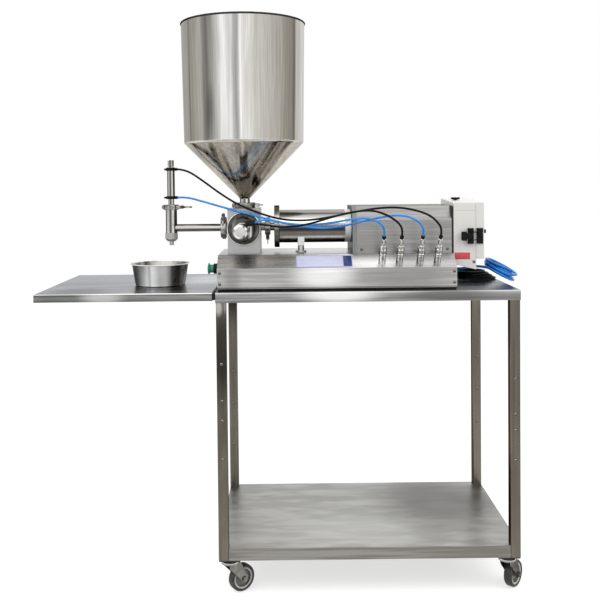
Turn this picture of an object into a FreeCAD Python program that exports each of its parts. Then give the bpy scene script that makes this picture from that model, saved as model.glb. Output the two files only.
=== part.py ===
"""Dosing machine: a pneumatic piston filler standing on a wheeled stainless table.

Millimetres. The working frame has X to the right from the table top's left edge, Y away from
the viewer from its front edge, and Z up from the floor. At the end everything is moved so that
the origin is the middle of the machine's footprint on the floor.
"""
import FreeCAD, Part
import math
import os

V = FreeCAD.Vector

# table
table_length = 840.0
table_depth = 500.0
table_height = 850.0
table_skirt = 28.0
sheet = 1.5
fold_radius = 2.0
leg_size = 28.0
leg_wall = 2.0
leg_corner_radius = 3.0
stiffener_width = 60.0
stiffener_depth = 20.0
lower_shelf_height = 140.0
lower_shelf_skirt = 34.0
side_shelf_length = 490.0
side_shelf_gap = 8.0
side_shelf_skirt = 22.0
arm_size = 20.0
arm_wall = 2.0
arm_inset = 60.0
arm_reach_left = 465.0
arm_reach_right = 230.0

# casters
wheel_diameter = 75.0
wheel_width = 24.0
hub_diameter = 58.0
hub_web_diameter = 50.0
axle_diameter = 8.0
caster_trail = 36.0
caster_plate_size = 60.0
caster_plate_thickness = 3.0
king_pin_diameter = 10.0
fork_cap_diameter = 50.0
fork_cap_height = 10.0
fork_sheet = 3.0
fork_recess = 4.0
front_left_heading = 35.0
front_right_heading = 50.0
rear_left_heading = -50.0
rear_right_heading = -115.0

# base box
base_left = 2.0
base_end_room = 6.0
base_front = 45.0
base_depth = 285.0
base_height = 90.0
front_panel_height = 55.0
slope_run = 45.0
feet_height = 6.0
feet_diameter = 30.0
feet_inset = 32.0
end_plate_thickness = 3.0
end_flange = 15.0

# dome screws
screw_diameter = 4.0
screw_length = 4.5
screw_head_diameter = 8.0
screw_head_height = 2.6
screw_inset = 12.0

# push button on the left end
button_height = 48.0
button_depth_place = 85.0
button_head_diameter = 34.0
button_head_thickness = 7.0
button_stem_diameter = 24.0
button_plunger_diameter = 14.0
button_travel = 5.0
collar_diameter = 30.0
collar_length = 16.0
collar_thread_diameter = 22.0

# drive housing and drive
cover_start = 399.0
cover_end_room = 20.0
cover_height = 135.0
cover_front_height = 96.0
cover_bend_run = 36.0
cover_depth = 210.0
front_plate_thickness = 13.0
drive_axis_height = 76.0
air_barrel_outer = 80.0
air_barrel_inner = 74.0
air_head_outer = 84.0
front_head_length = 15.0
air_end_room = 26.0
rear_head_length = 12.0
air_piston_length = 20.0
stroke = 150.0
rod_diameter = 20.0

# product cylinder
product_outer = 97.0
product_inner = 90.0
product_end_room = 17.0
product_piston_start = 12.0
collar_thickness = 17.0
flange_diameter = 124.0
flange_thickness = 15.0
product_piston_length = 25.0
seal_width = 5.0
seal_depth = 4.0
piston_play = 2.0
piston_chamfer = 3.0
air_piston_gap = 5.0
post_diameter = 19.0
post_place = 240.0
saddle_height = 30.0
saddle_width = 76.0

# valve block
valve_x = 75.0
block_width = 94.0
block_height = 131.0
block_front = 120.0
block_depth = 140.0
valve_axis_height = 74.0
port_diameter = 18.0
spool_diameter = 40.0
spool_length = 98.0
spool_front_gap = 10.0
spool_travel = 25.0
valve_rod_diameter = 10.0
valve_cover_diameter = 97.0
valve_cover_thickness = 15.0
bonnet_diameter = 64.0
bonnet_length = 55.0
actuator_diameter = 36.0
actuator_cap_diameter = 40.0
actuator_cap_length = 22.0
actuator_length = 115.0
actuator_bore = 30.0
valve_piston_length = 10.0

# ferrules and clamps
pipe_diameter = 29.0
ferrule_diameter = 50.5
ferrule_thickness = 5.5
clamp_diameter = 62.0
clamp_width = 16.0
clamp_lip = 5.0
clamp_split = 1.0
small_ferrule_diameter = 38.0
small_clamp_diameter = 44.0
small_clamp_width = 15.0
cylinder_clamp_diameter = 50.0
cylinder_ferrule_diameter = 40.0
cylinder_pipe_diameter = 25.0

# nozzle
nozzle_x = -143.0
arm_pipe_diameter = 22.0
arm_pipe_bore = 17.0
nozzle_diameter = 33.0
nozzle_bore = 24.0
nozzle_below_axis = 14.0
nozzle_above_axis = 54.0
cap_nut_diameter = 37.5
cap_nut_height = 18.0
cap_nut_taper = 7.0
tip_diameter = 13.0
tip_bore = 8.0
tip_length = 12.0
nozzle_neck_diameter = 18.0
nozzle_neck_length = 24.0
nozzle_cylinder_diameter = 22.5
nozzle_cylinder_length = 94.0
nozzle_cylinder_bore = 16.0
nozzle_cap_diameter = 18.0
nozzle_cap_length = 21.0
plunger_diameter = 9.0
plunger_piston_length = 8.0

# hopper
hopper_neck_length = 14.0
hopper_neck_bore = 25.0
hopper_cone_height = 163.0
hopper_shoulder_diameter = 352.0
hopper_top_diameter = 364.0
hopper_wall_height = 348.0
hopper_wall = 2.0
rim_bead_diameter = 6.0
shoulder_radius = 10.0

# quick couplers
coupler_places = (466.0, 515.0, 573.0, 622.0)
coupler_hex = 17.0
coupler_hex_height = 8.0
socket_diameter = 15.0
socket_height = 54.0
sleeve_diameter = 21.0
sleeve_height = 26.0
sleeve_place = 24.0
sleeve_travel = 5.0
plug_diameter = 14.0
plug_height = 32.0
tube_nut_diameter = 11.0
tube_nut_height = 10.0
coupler_shank_diameter = 12.0
coupler_shank_length = 9.0

# control box
box_length = 64.0
door_length = 23.5
box_front = 92.0
box_depth = 198.0
box_height = 175.0
box_bottom = 62.0
box_slant = 15.0
box_top_rise = 10.0
box_wall = 2.0
door_height = 160.0
hinge_pin_diameter = 5.0
knuckle_diameter = 10.0
knuckle_length = 26.0
latch_height = 44.0
latch_base_width = 16.0
latch_base_thickness = 6.0
latch_handle_height = 26.0
latch_handle_length = 16.0
latch_neck_height = 16.0
latch_neck_length = 13.0
latch_lever_thickness = 4.0
latch_pin_diameter = 3.0
latch_hub_wall = 1.5
latch_middle = 144.0
bail_wire = 3.0
catch_width = 18.0
catch_thickness = 4.0
catch_lip = 2.5
knob_span = 27.0
knob_place = 27.0
knob_depth_place = 108.0

# bowl
bowl_x = -181.5
bowl_y = 213.0
bowl_rim_diameter = 177.0
bowl_mouth_diameter = 168.0
bowl_base_diameter = 144.0
bowl_corner = 4.5
bowl_height = 64.5
bowl_wall = 1.2

# cords
gland_diameter = 10.0
gland_nut_length = 6.0
gland_sleeve_length = 8.0
hose_gland_inset = 118.0
hose_gland_height = 32.0
cable_gland_inset = 55.0
cable_gland_height = 22.0
tube_diameter = 6.0
hose_diameter = 8.0
hose_coil_radius = 49.0
hose_coil_band = 26.0
hose_coil_height = 18.0
hose_coil_tilt = 26.0
hose_coil_end_inset = 14.0
hose_coil_back_inset = 115.0
hose_coil_rise = 37.0
hose_steps = ((24.0, 0.0, 0.0), (52.0, 0.0, 3.5), (77.0, 1.0, 13.0), (87.0, 1.0, 19.0))
hank_length = 141.0
hank_width = 90.0
hank_height = 42.0
hank_end_height = 24.7
hank_opening = 26.0

# clearances
running_gap = 0.05
free_gap = 0.5
body_gap = 0.3

# places worked out from the sizes above
caster_height = lower_shelf_height - lower_shelf_skirt
base_bottom = table_height + feet_height
base_top = base_bottom + base_height
base_back = base_front + base_depth
slope_top_y = base_front + slope_run
crease_z = base_bottom + front_panel_height
slope_rise = base_top - crease_z
drive_z = base_top + drive_axis_height
air_barrel_length = stroke + air_piston_length + 2 * air_end_room
product_length = stroke + product_piston_length + product_end_room
cover_length = front_head_length + air_barrel_length + rear_head_length + cover_end_room
cover_end = cover_start + cover_length
base_right = cover_end + base_end_room
base_length = base_right - base_left
plate_start = cover_start - front_plate_thickness
product_end = plate_start - collar_thickness
product_start = product_end - product_length
flange_start = product_start - flange_thickness
block_left = valve_x - block_width / 2
block_right = valve_x + block_width / 2
block_top = base_top + block_height
block_back = block_front + block_depth
valve_z = base_top + valve_axis_height
process_y = block_front + block_depth / 2
cylinder_joint = (block_right + flange_start) / 2
outlet_joint = block_left - clamp_width
hopper_joint = block_top + clamp_width / 2 + body_gap
box_left = base_right
box_right = box_left + box_length
box_z = base_bottom + box_bottom - 5.0
shelf_left = -(side_shelf_gap + side_shelf_length)
bowl_z = table_height + body_gap


def box(low, high):
    """A block between two corners."""
    size = [b - a for a, b in zip(low, high)]
    return Part.makeBox(size[0], size[1], size[2], V(*low))


def rod(start, direction, diameter, length):
    """A round bar that starts at a point and runs along a direction."""
    return Part.makeCylinder(diameter / 2, length, V(*start), V(*direction))


def lathe(profile, start=(0, 0, 0), direction=(0, 0, 1)):
    """A turned piece from (radius, height) points, its axis along a direction."""
    points = [V(radius, 0, height) for radius, height in profile]
    face = Part.Face(Part.makePolygon(points + [points[0]]))
    turned = face.revolve(V(0, 0, 0), V(0, 0, 1), 360)
    turned.Placement = FreeCAD.Placement(V(*start), FreeCAD.Rotation(V(0, 0, 1), V(*direction)))
    return turned


def ring(outer, inner, length, start, direction):
    """A plain bush."""
    profile = [(inner / 2, 0), (outer / 2, 0), (outer / 2, length), (inner / 2, length)]
    return lathe(profile, start, direction)


def prism_x(outline, start, length):
    """A (Y, Z) outline carried along X."""
    points = [V(start, y, z) for y, z in outline]
    return Part.Face(Part.makePolygon(points + [points[0]])).extrude(V(length, 0, 0))


def prism_y(outline, start, length):
    """An (X, Z) outline carried along Y."""
    points = [V(x, start, z) for x, z in outline]
    return Part.Face(Part.makePolygon(points + [points[0]])).extrude(V(0, length, 0))


def prism_z(outline, start, height):
    """An (X, Y) outline carried along Z."""
    points = [V(x, y, start) for x, y in outline]
    return Part.Face(Part.makePolygon(points + [points[0]])).extrude(V(0, 0, height))


def hexagon(start, direction, flats, height):
    """A hexagon bar, by its width across flats."""
    corner = flats / math.sqrt(3)
    points = [V(corner * math.cos(math.radians(60 * i)), corner * math.sin(math.radians(60 * i)), 0)
              for i in range(7)]
    bar = Part.Face(Part.makePolygon(points)).extrude(V(0, 0, height))
    bar.Placement = FreeCAD.Placement(V(*start), FreeCAD.Rotation(V(0, 0, 1), V(*direction)))
    return bar


def upright_edges(shape):
    """The edges of a shape that run along Z."""
    found = []
    for edge in shape.Edges:
        way = edge.tangentAt(edge.FirstParameter)
        if edge.Curve.TypeId == "Part::GeomLine" and abs(way.z) > 0.999:
            found.append(edge)
    return found


def edges_at(shape, test):
    """The edges whose middle passes a test."""
    return [e for e in shape.Edges if test(e.valueAt((e.FirstParameter + e.LastParameter) / 2))]


def turn(shape, centre, axis, angle):
    """A turned copy."""
    copy = shape.copy()
    copy.rotate(V(*centre), V(*axis), angle)
    return copy


def mix(*shapes):
    """Pieces welded into one solid."""
    return shapes[0].fuse(list(shapes[1:])).removeSplitter()


def group(shapes):
    """Separate solids that share one node."""
    return Part.makeCompound(shapes)


def dome_screw(start, direction):
    """A dome-head screw whose head stands on a surface."""
    shank = screw_diameter / 2
    head = screw_head_diameter / 2
    height = screw_head_height
    profile = [(0, -screw_length), (shank, -screw_length), (shank, 0), (head, 0), (head, height * 0.3),
               (head * 0.72, height * 0.8), (head * 0.36, height), (0, height)]
    return lathe(profile, start, direction)


# table

def folded_pan(low, high, sheet_size):
    """A folded sheet tray with its mouth down."""
    outer = box(low, high)
    rounded = upright_edges(outer) + edges_at(outer, lambda p: abs(p.z - high[2]) < 0.01)
    outer = outer.makeFillet(fold_radius, rounded)
    hollow_low = (low[0] + sheet_size, low[1] + sheet_size, low[2] - 1)
    hollow_high = (high[0] - sheet_size, high[1] - sheet_size, high[2] - sheet_size)
    return outer.cut(box(hollow_low, hollow_high))


def arm_places():
    """Where the two side shelf arms lie, by their middle in Y."""
    return (arm_inset + arm_size / 2, table_depth - arm_inset - arm_size / 2)


def arm_slots(left, right):
    """The openings that let the arms through a skirt."""
    top = table_height - sheet
    low = top - arm_size - body_gap
    half = arm_size / 2 + body_gap
    return [box((left, y - half, low), (right, y + half, top)) for y in arm_places()]


def make_table_top():
    pan = folded_pan((0, 0, table_height - table_skirt), (table_length, table_depth, table_height), sheet)
    pan = pan.cut(group(arm_slots(-1, sheet + 1)))
    low_y = (table_depth - stiffener_width) / 2
    left = leg_size * 2
    top = table_height - sheet
    channel = box((left, low_y, top - stiffener_depth), (table_length - left, low_y + stiffener_width, top))
    hollow = box((left - 1, low_y + sheet, top - stiffener_depth + sheet),
                 (table_length - left + 1, low_y + stiffener_width - sheet, top))
    slot = box((left - 1, low_y + stiffener_width * 0.25, top - stiffener_depth - 1),
               (table_length - left + 1, low_y + stiffener_width * 0.75, top - stiffener_depth + sheet + 1))
    return mix(pan, channel.cut(hollow).cut(slot))


def leg_corners():
    """The lowest X and Y of each leg: front left, front right, rear left, rear right."""
    far_x = table_length - sheet - leg_size
    far_y = table_depth - sheet - leg_size
    return [(sheet, sheet), (far_x, sheet), (sheet, far_y), (far_x, far_y)]


def make_legs():
    legs = []
    for x, y in leg_corners():
        post = box((x, y, caster_height), (x + leg_size, y + leg_size, table_height - sheet))
        post = post.makeFillet(leg_corner_radius, upright_edges(post))
        hollow = box((x + leg_wall, y + leg_wall, caster_height - 1),
                     (x + leg_size - leg_wall, y + leg_size - leg_wall, table_height))
        legs.append(post.cut(hollow))
    return group([leg.cut(screw_holes(leg_screws())) for leg in legs])


leg_screw_heights = ((653, 551, 496, 389), (604, 507, 462, 378), (530, 421, 286), (570, 462, 352))


def leg_screws():
    """The screws on the front faces of the legs."""
    places = []
    for (x, y), heights in zip(leg_corners(), leg_screw_heights):
        places += [((x + leg_size / 2, y, height), (0, -1, 0)) for height in heights]
    return places


def base_screws():
    """The screws that hold the base cover on its end plates."""
    inset = end_flange / 2
    low = base_bottom + screw_inset
    high = crease_z - screw_inset
    sides = (base_left + inset, base_right - inset)
    return [((x, base_front, z), (0, -1, 0)) for x in sides for z in (low, high)]


def cover_screws():
    """The screws on the drive cover's front and top."""
    front_y = slope_top_y
    top_y = slope_top_y + cover_bend_run + screw_inset
    left = cover_start + screw_inset
    places = [((x, front_y, base_top + screw_inset), (0, -1, 0)) for x in (left, cover_end - screw_inset)]
    places += [((x, top_y, base_top + cover_height), (0, 0, 1)) for x in (left, cover_end - 4 * screw_inset)]
    return places


def screw_holes(places):
    """Clearance holes for the screws at those places."""
    holes = []
    for (x, y, z), (a, b, c) in places:
        back = screw_length + 1
        start = (x - a * back, y - b * back, z - c * back)
        holes.append(rod(start, (a, b, c), screw_diameter + 2 * running_gap, back + 1))
    return group(holes)


def make_dome_screws():
    """Every dome screw of the table, the base and the drive cover."""
    places = leg_screws() + base_screws() + cover_screws()
    return group([dome_screw(start, direction) for start, direction in places])


def make_lower_shelf():
    low_z = caster_height
    outer = box((sheet, sheet, low_z), (table_length - sheet, table_depth - sheet, lower_shelf_height))
    top_edges = edges_at(outer, lambda p: abs(p.z - lower_shelf_height) < 0.01)
    outer = outer.makeFillet(fold_radius, top_edges)
    hollow = box((2 * sheet, 2 * sheet, low_z - 1),
                 (table_length - 2 * sheet, table_depth - 2 * sheet, lower_shelf_height - sheet))
    notches = []
    keepers = []
    for x, y in leg_corners():
        notches.append(box((x - body_gap, y - body_gap, low_z - 2),
                           (x + leg_size + body_gap, y + leg_size + body_gap, lower_shelf_height + 1)))
        wall = sheet + body_gap
        keepers.append(box((x - wall, y - wall, low_z - 2),
                           (x + leg_size + wall, y + leg_size + wall, lower_shelf_height + 1)))
    return outer.cut(hollow.cut(group(keepers))).cut(group(notches))


def make_side_shelf():
    pan = folded_pan((shelf_left, 0, table_height - side_shelf_skirt),
                     (-side_shelf_gap, table_depth, table_height), sheet)
    return pan.cut(group(arm_slots(-side_shelf_gap - sheet - 1, -side_shelf_gap + 1)))


def make_shelf_arms():
    arms = []
    top = table_height - sheet
    for y in arm_places():
        low = (-arm_reach_left, y - arm_size / 2, top - arm_size)
        high = (arm_reach_right, y + arm_size / 2, top)
        bar = box(low, high)
        hollow = box((low[0] - 1, low[1] + arm_wall, low[2] + arm_wall),
                     (high[0] + 1, high[1] - arm_wall, high[2] - arm_wall))
        arms.append(bar.cut(hollow))
    return group(arms)


# casters

def caster_pivots():
    """The king pins: front left, front right, rear left, rear right."""
    inset = sheet + caster_plate_size / 2
    far_x = table_length - inset
    far_y = table_depth - inset
    return [(inset, inset), (far_x, inset), (inset, far_y), (far_x, far_y)]


def caster_headings():
    return (front_left_heading, front_right_heading, rear_left_heading, rear_right_heading)


def fork_cap_top():
    """The height of the fork's top, just under the plate's bearing ring."""
    return caster_height - caster_plate_thickness - 4.0


def make_caster_plates():
    plates = []
    half = caster_plate_size / 2
    low = caster_height - caster_plate_thickness
    nut_height = 3.5
    nut_low = fork_cap_top() - fork_cap_height + fork_recess - body_gap - nut_height
    for x, y in caster_pivots():
        plate = box((x - half, y - half, low), (x + half, y + half, caster_height))
        plate = plate.makeFillet(6.0, upright_edges(plate))
        bearing = rod((x, y, fork_cap_top() + body_gap), (0, 0, 1), fork_cap_diameter * 0.8,
                      low - fork_cap_top() - body_gap)
        pin = rod((x, y, nut_low - 1), (0, 0, 1), king_pin_diameter, low - nut_low + 1)
        nut = hexagon((x, y, nut_low), (0, 0, 1), king_pin_diameter * 1.7, nut_height)
        plates.append(mix(plate, bearing, pin, nut))
    return group(plates)


def fork_blank():
    """A fork that trails along +X from its king pin at X 0, Y 0, with its axle bolt and nut."""
    top = fork_cap_top()
    low = top - fork_cap_height
    radius = fork_cap_diameter / 2
    bore = king_pin_diameter / 2 + running_gap
    inner = radius - fork_sheet
    recess = low + fork_recess
    profile = [(bore, recess), (bore, top), (radius * 0.82, top), (radius, top - 4), (radius, low),
               (radius - 4, low - 2), (inner * 0.62, low - 2), (inner * 0.62, recess)]
    cap = lathe(profile)
    axle_z = wheel_diameter / 2
    side = wheel_width / 2 + 2.0
    outline = [(-radius * 0.45, low + 1), (radius * 0.92, low + 1), (caster_trail + 11, axle_z + 4),
               (caster_trail + 6, axle_z - 9), (caster_trail - 6, axle_z - 9), (caster_trail - 13, axle_z + 2),
               (-radius * 0.45, low - 12)]
    arms = []
    for y in (-side - fork_sheet, side):
        arm = prism_y(outline, y, fork_sheet)
        middle = y + fork_sheet / 2
        corners = edges_at(arm, lambda p: p.z < axle_z + 5 and abs(p.y - middle) < 0.01)
        across = [e for e in corners if abs(e.tangentAt(e.FirstParameter).y) > 0.99]
        arms.append(arm.makeFillet(5.0, across))
    bridge = box((-radius * 0.45, -side - fork_sheet, low - 2), (radius * 0.75, side + fork_sheet, low + 1))
    hole = rod((0, 0, low - 3), (0, 0, 1), inner * 1.24, 5)
    fork = mix(cap, arms[0], arms[1], bridge.cut(hole))
    wheel_space = rod((caster_trail, -side, axle_z), (0, 1, 0), wheel_diameter + 3, 2 * side)
    fork = fork.cut(wheel_space)
    span = 2 * (side + fork_sheet)
    hole = rod((caster_trail, -span, axle_z), (0, 1, 0), axle_diameter, 2 * span)
    fork = fork.cut(hole)
    bolt = rod((caster_trail, -span / 2 - 5, axle_z), (0, 1, 0), axle_diameter, span + 10)
    head = hexagon((caster_trail, -span / 2 - 4.5, axle_z), (0, 1, 0), 13, 4.5)
    nut = hexagon((caster_trail, span / 2, axle_z), (0, 1, 0), 13, 4.5)
    return [fork, mix(bolt, head, nut)]


def wheel_blank():
    """A hub and its tyre, in the fork's own frame."""
    axle_z = wheel_diameter / 2
    half = wheel_width / 2
    outer = wheel_diameter / 2
    rim = hub_diameter / 2
    web = hub_web_diameter / 2
    bore = axle_diameter / 2 + running_gap
    hub_profile = [(bore, -half - 1.5), (8, -half - 1.5), (9, -4), (web, -3), (web, -half + 3),
                   (rim, -half + 2), (rim, half - 2), (web, half - 3), (web, 3), (9, 4),
                   (8, half + 1.5), (bore, half + 1.5)]
    tyre_profile = [(rim, -half + 2), (rim + 3, -half), (outer - 3, -half), (outer, -half + 4),
                    (outer, half - 4), (outer - 3, half), (rim + 3, half), (rim, half - 2)]
    place = (caster_trail, 0, axle_z)
    return [lathe(hub_profile, place, (0, 1, 0)), lathe(tyre_profile, place, (0, 1, 0))]


def make_casters():
    """Every fork and wheel, turned to its heading."""
    nodes = {}
    names = ("front_left", "front_right", "rear_left", "rear_right")
    for name, (x, y), heading in zip(names, caster_pivots(), caster_headings()):
        for kind, blank in (("fork", fork_blank()), ("wheel", wheel_blank())):
            pieces = [turn(piece, (0, 0, 0), (0, 0, 1), heading) for piece in blank]
            for piece in pieces:
                piece.translate(V(x, y, 0))
            nodes["caster_%s_%s" % (kind, name)] = group(pieces)
    return nodes


# base box

def base_outline(inset=0.0):
    """The base's (Y, Z) outline, or one inside it by a sheet."""
    lean = math.atan2(slope_rise, slope_run)
    crease_shift = inset * math.tan((math.pi / 2 - lean) / 2)
    top_shift = inset * math.tan(lean / 2)
    return [(base_front + inset, base_bottom + inset),
            (base_front + inset, crease_z - crease_shift),
            (slope_top_y + top_shift, base_top - inset),
            (base_back - inset, base_top - inset),
            (base_back - inset, base_bottom + inset)]


def slope_normal():
    """The way out of the sloping panel, in Y and Z."""
    length = math.hypot(slope_run, slope_rise)
    return (-slope_rise / length, slope_run / length)


def coupler_foot(x):
    """Where a coupler stands on the sloping panel."""
    share = 0.42
    return (x, base_front + slope_run * share, crease_z + slope_rise * share)


def make_base_cover():
    outer = prism_x(base_outline(), base_left, base_length)
    along = [e for e in outer.Edges if abs(e.tangentAt(e.FirstParameter).x) > 0.99]
    outer = outer.makeFillet(fold_radius, along)
    cover = outer.cut(prism_x(base_outline(sheet), base_left - 1, base_length + 2))
    normal = slope_normal()
    holes = []
    for x in coupler_places:
        foot = coupler_foot(x)
        start = (foot[0], foot[1] - 5 * normal[0], foot[2] - 5 * normal[1])
        holes.append(rod(start, (0, normal[0], normal[1]), coupler_shank_diameter + 0.4, 10))
    return cover.cut(group(holes)).cut(screw_holes(base_screws()))


def button_centre():
    return (base_front + button_depth_place, base_bottom + button_height)


def gland_places():
    """Where the hose and the cable leave the base's right end."""
    return ((base_back - hose_gland_inset, base_bottom + hose_gland_height),
            (base_back - cable_gland_inset, base_bottom + cable_gland_height))


def make_end_plates():
    """Two end plates with flanges, inside the mouths of the cover."""
    y, z = button_centre()
    through = end_plate_thickness + 5
    plates = []
    for side in (0, 1):
        start = base_left if side == 0 else base_right - end_plate_thickness
        plate = prism_x(base_outline(sheet), start, end_plate_thickness)
        flange_x = base_left if side == 0 else base_right - end_flange
        flange = box((flange_x, base_front + sheet, base_bottom + sheet + 4),
                     (flange_x + end_flange, base_front + 2 * sheet + 1, crease_z - 6))
        plate = mix(plate, flange)
        if side == 0:
            plate = plate.cut(rod((start - 1, y, z), (1, 0, 0), collar_thread_diameter, through))
        else:
            for gland_y, gland_z in gland_places():
                plate = plate.cut(rod((start - 1, gland_y, gland_z), (1, 0, 0), gland_diameter, through))
        plates.append(plate.cut(screw_holes(base_screws())))
    return group(plates)


def make_base_feet():
    feet = []
    for x in (base_left + feet_inset, base_right - feet_inset):
        for y in (base_front + feet_inset, base_back - feet_inset):
            radius = feet_diameter / 2
            profile = [(0, 0), (radius - 1, 0), (radius, 1), (radius - 1.5, feet_height), (0, feet_height)]
            feet.append(lathe(profile, (x, y, table_height)))
    return group(feet)


def make_push_button():
    y, z = button_centre()
    head = button_head_diameter / 2
    stem = button_stem_diameter / 2
    plunger = button_plunger_diameter / 2
    front = button_head_thickness
    stem_end = front + 12.5
    profile = [(0, 0), (head * 0.55, 0.5), (head * 0.85, 2.0), (head, front * 0.6), (head - 1, front),
               (stem, front), (stem, stem_end), (plunger, stem_end), (plunger, stem_end + 32),
               (0, stem_end + 32)]
    start = base_left - collar_length - 11.0 - front
    return lathe(profile, (start, y, z), (1, 0, 0))


def make_button_collar():
    y, z = button_centre()
    outer = collar_diameter / 2
    mouth = button_stem_diameter / 2 + body_gap
    bore = button_plunger_diameter / 2 + running_gap
    thread = collar_thread_diameter / 2
    depth = button_travel + 3.0
    inside = collar_length + end_plate_thickness
    profile = [(mouth, 0), (outer - 1, 0), (outer, 1), (outer, collar_length), (thread, collar_length),
               (thread, inside), (thread + 4, inside), (thread + 4, inside + 5), (bore, inside + 5),
               (bore, depth), (mouth, depth)]
    return lathe(profile, (base_left - collar_length, y, z), (1, 0, 0))


# drive

def cover_outline(inset=0.0):
    """The drive cover's (Y, Z) outline, open at the bottom when inset."""
    front_y = slope_top_y + inset
    back_y = slope_top_y + cover_depth - inset
    top_z = base_top + cover_height - inset
    rise = cover_height - cover_front_height
    lean = math.atan2(rise, cover_bend_run)
    bend_low = inset * math.tan((math.pi / 2 - lean) / 2)
    bend_high = inset * math.tan(lean / 2)
    low_z = base_top - (1.0 if inset else 0.0)
    return [(front_y, low_z), (front_y, base_top + cover_front_height - bend_low),
            (slope_top_y + cover_bend_run + bend_high, top_z), (back_y, top_z), (back_y, low_z)]


def make_drive_cover():
    outer = prism_x(cover_outline(), cover_start, cover_length)
    along = [e for e in outer.Edges if abs(e.tangentAt(e.FirstParameter).x) > 0.99
             and e.CenterOfMass.z > base_top + 1]
    outer = outer.makeFillet(fold_radius, along)
    hollow = prism_x(cover_outline(sheet), cover_start - 1, cover_length - sheet + 1)
    return outer.cut(hollow).cut(screw_holes(cover_screws()))


def make_front_plate():
    plate = prism_x(cover_outline(), plate_start, front_plate_thickness)
    return plate.cut(rod((plate_start - 1, process_y, drive_z), (1, 0, 0), rod_diameter + 2 * free_gap,
                         front_plate_thickness + 2))


def make_air_cylinder():
    front = ring(air_head_outer, rod_diameter + 2 * free_gap, front_head_length,
                 (cover_start, process_y, drive_z), (1, 0, 0))
    barrel_start = cover_start + front_head_length
    barrel = ring(air_barrel_outer, air_barrel_inner, air_barrel_length,
                  (barrel_start, process_y, drive_z), (1, 0, 0))
    rear_start = barrel_start + air_barrel_length
    rear = rod((rear_start, process_y, drive_z), (1, 0, 0), air_head_outer, rear_head_length)
    return group([front, barrel, rear])


def air_piston_start():
    return cover_start + front_head_length + air_piston_gap


def make_piston_rod():
    start = product_start + product_piston_start + product_piston_length
    end = air_piston_start()
    return rod((start, process_y, drive_z), (1, 0, 0), rod_diameter, end - start)


def make_pistons():
    """The product piston with its seal, and the air piston."""
    outer = product_inner / 2 - running_gap
    body = outer - piston_play
    length = product_piston_length
    low = (length - seal_width) / 2
    seal_in = body - seal_depth
    profile = [(0, 0), (body - piston_chamfer, 0), (body, piston_chamfer), (body, low), (seal_in, low),
               (seal_in, low + seal_width), (body, low + seal_width), (body, length), (0, length)]
    start = (product_start + product_piston_start, process_y, drive_z)
    piston = lathe(profile, start, (1, 0, 0))
    seal_start = (start[0] + low, process_y, drive_z)
    seal = ring(2 * outer, 2 * seal_in, seal_width, seal_start, (1, 0, 0))
    air = rod((air_piston_start(), process_y, drive_z), (1, 0, 0), air_barrel_inner - 2 * running_gap,
              air_piston_length)
    return group([piston, seal, air])


def make_product_cylinder():
    return ring(product_outer, product_inner, product_length, (product_start, process_y, drive_z), (1, 0, 0))


def make_cylinder_flange():
    """The front flange with its short ferruled pipe, facing the valve block."""
    bore = port_diameter / 2
    pipe = cylinder_pipe_diameter / 2
    lip = cylinder_ferrule_diameter / 2
    reach = flange_start - cylinder_joint
    disc = flange_diameter / 2
    profile = [(bore, 0), (lip, 0), (lip, 1.5), (pipe, ferrule_thickness), (pipe, reach), (disc - 1, reach),
               (disc, reach + 1), (disc, reach + flange_thickness - 1), (disc - 1, reach + flange_thickness),
               (bore, reach + flange_thickness)]
    return lathe(profile, (cylinder_joint, process_y, drive_z), (1, 0, 0))


def make_rear_collar():
    """The white guide bush behind the cylinder."""
    bore = rod_diameter / 2 + running_gap
    outer = product_outer / 2
    spigot = product_inner / 2
    profile = [(bore, -4), (spigot, -4), (spigot, 0), (outer, 0), (outer, collar_thickness),
               (bore, collar_thickness)]
    return lathe(profile, (product_end, process_y, drive_z), (1, 0, 0))


def make_support_post():
    """A post with a saddle that the product cylinder lies in."""
    half = post_diameter / 2
    saddle_low = drive_z - product_outer / 2 - 6.0
    block = box((post_place - half, process_y - saddle_width / 2, saddle_low),
                (post_place + half, process_y + saddle_width / 2, saddle_low + saddle_height))
    bed = rod((post_place - post_diameter, process_y, drive_z), (1, 0, 0), product_outer, 2 * post_diameter)
    post = rod((post_place, process_y, base_top), (0, 0, 1), post_diameter, saddle_low - base_top)
    foot = rod((post_place, process_y, base_top), (0, 0, 1), post_diameter * 1.7, 4.0)
    return mix(block.cut(bed), post, foot)


# valve

def spool_front():
    return block_front + spool_front_gap


def passage_y():
    """Where the ports meet the spool: the middle of the block."""
    return process_y


def make_valve_block():
    block = box((block_left, block_front, base_top), (block_right, block_back, block_top))
    block = block.makeFillet(1.5, upright_edges(block))
    bore = spool_diameter / 2
    depth = spool_front_gap + spool_length + spool_travel + 3.0
    holes = [rod((valve_x, block_front - 1, valve_z), (0, 1, 0), 2 * bore, depth + 1)]
    holes.append(rod((valve_x, process_y, valve_z), (0, 0, 1), port_diameter, block_top - valve_z + 1))
    holes.append(rod((valve_x, process_y, valve_z), (-1, 0, 0), port_diameter, block_width))
    holes.append(rod((valve_x, process_y, drive_z), (1, 0, 0), port_diameter, block_width))
    return block.cut(group(holes)).fuse([hopper_stub(), outlet_stub(), cylinder_stub()]).removeSplitter()


def stub(start, direction, reach, pipe, lip):
    """A short pipe with a ferrule on its end."""
    bore = port_diameter / 2
    profile = [(bore, 0), (pipe / 2, 0), (pipe / 2, reach - ferrule_thickness), (lip / 2, reach - 1.5),
               (lip / 2, reach), (bore, reach)]
    return lathe(profile, start, direction)


def hopper_stub():
    return stub((valve_x, process_y, block_top), (0, 0, 1), hopper_joint - block_top, pipe_diameter,
                ferrule_diameter)


def outlet_stub():
    return stub((block_left, process_y, valve_z), (-1, 0, 0), block_left - outlet_joint, pipe_diameter,
                ferrule_diameter)


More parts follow.
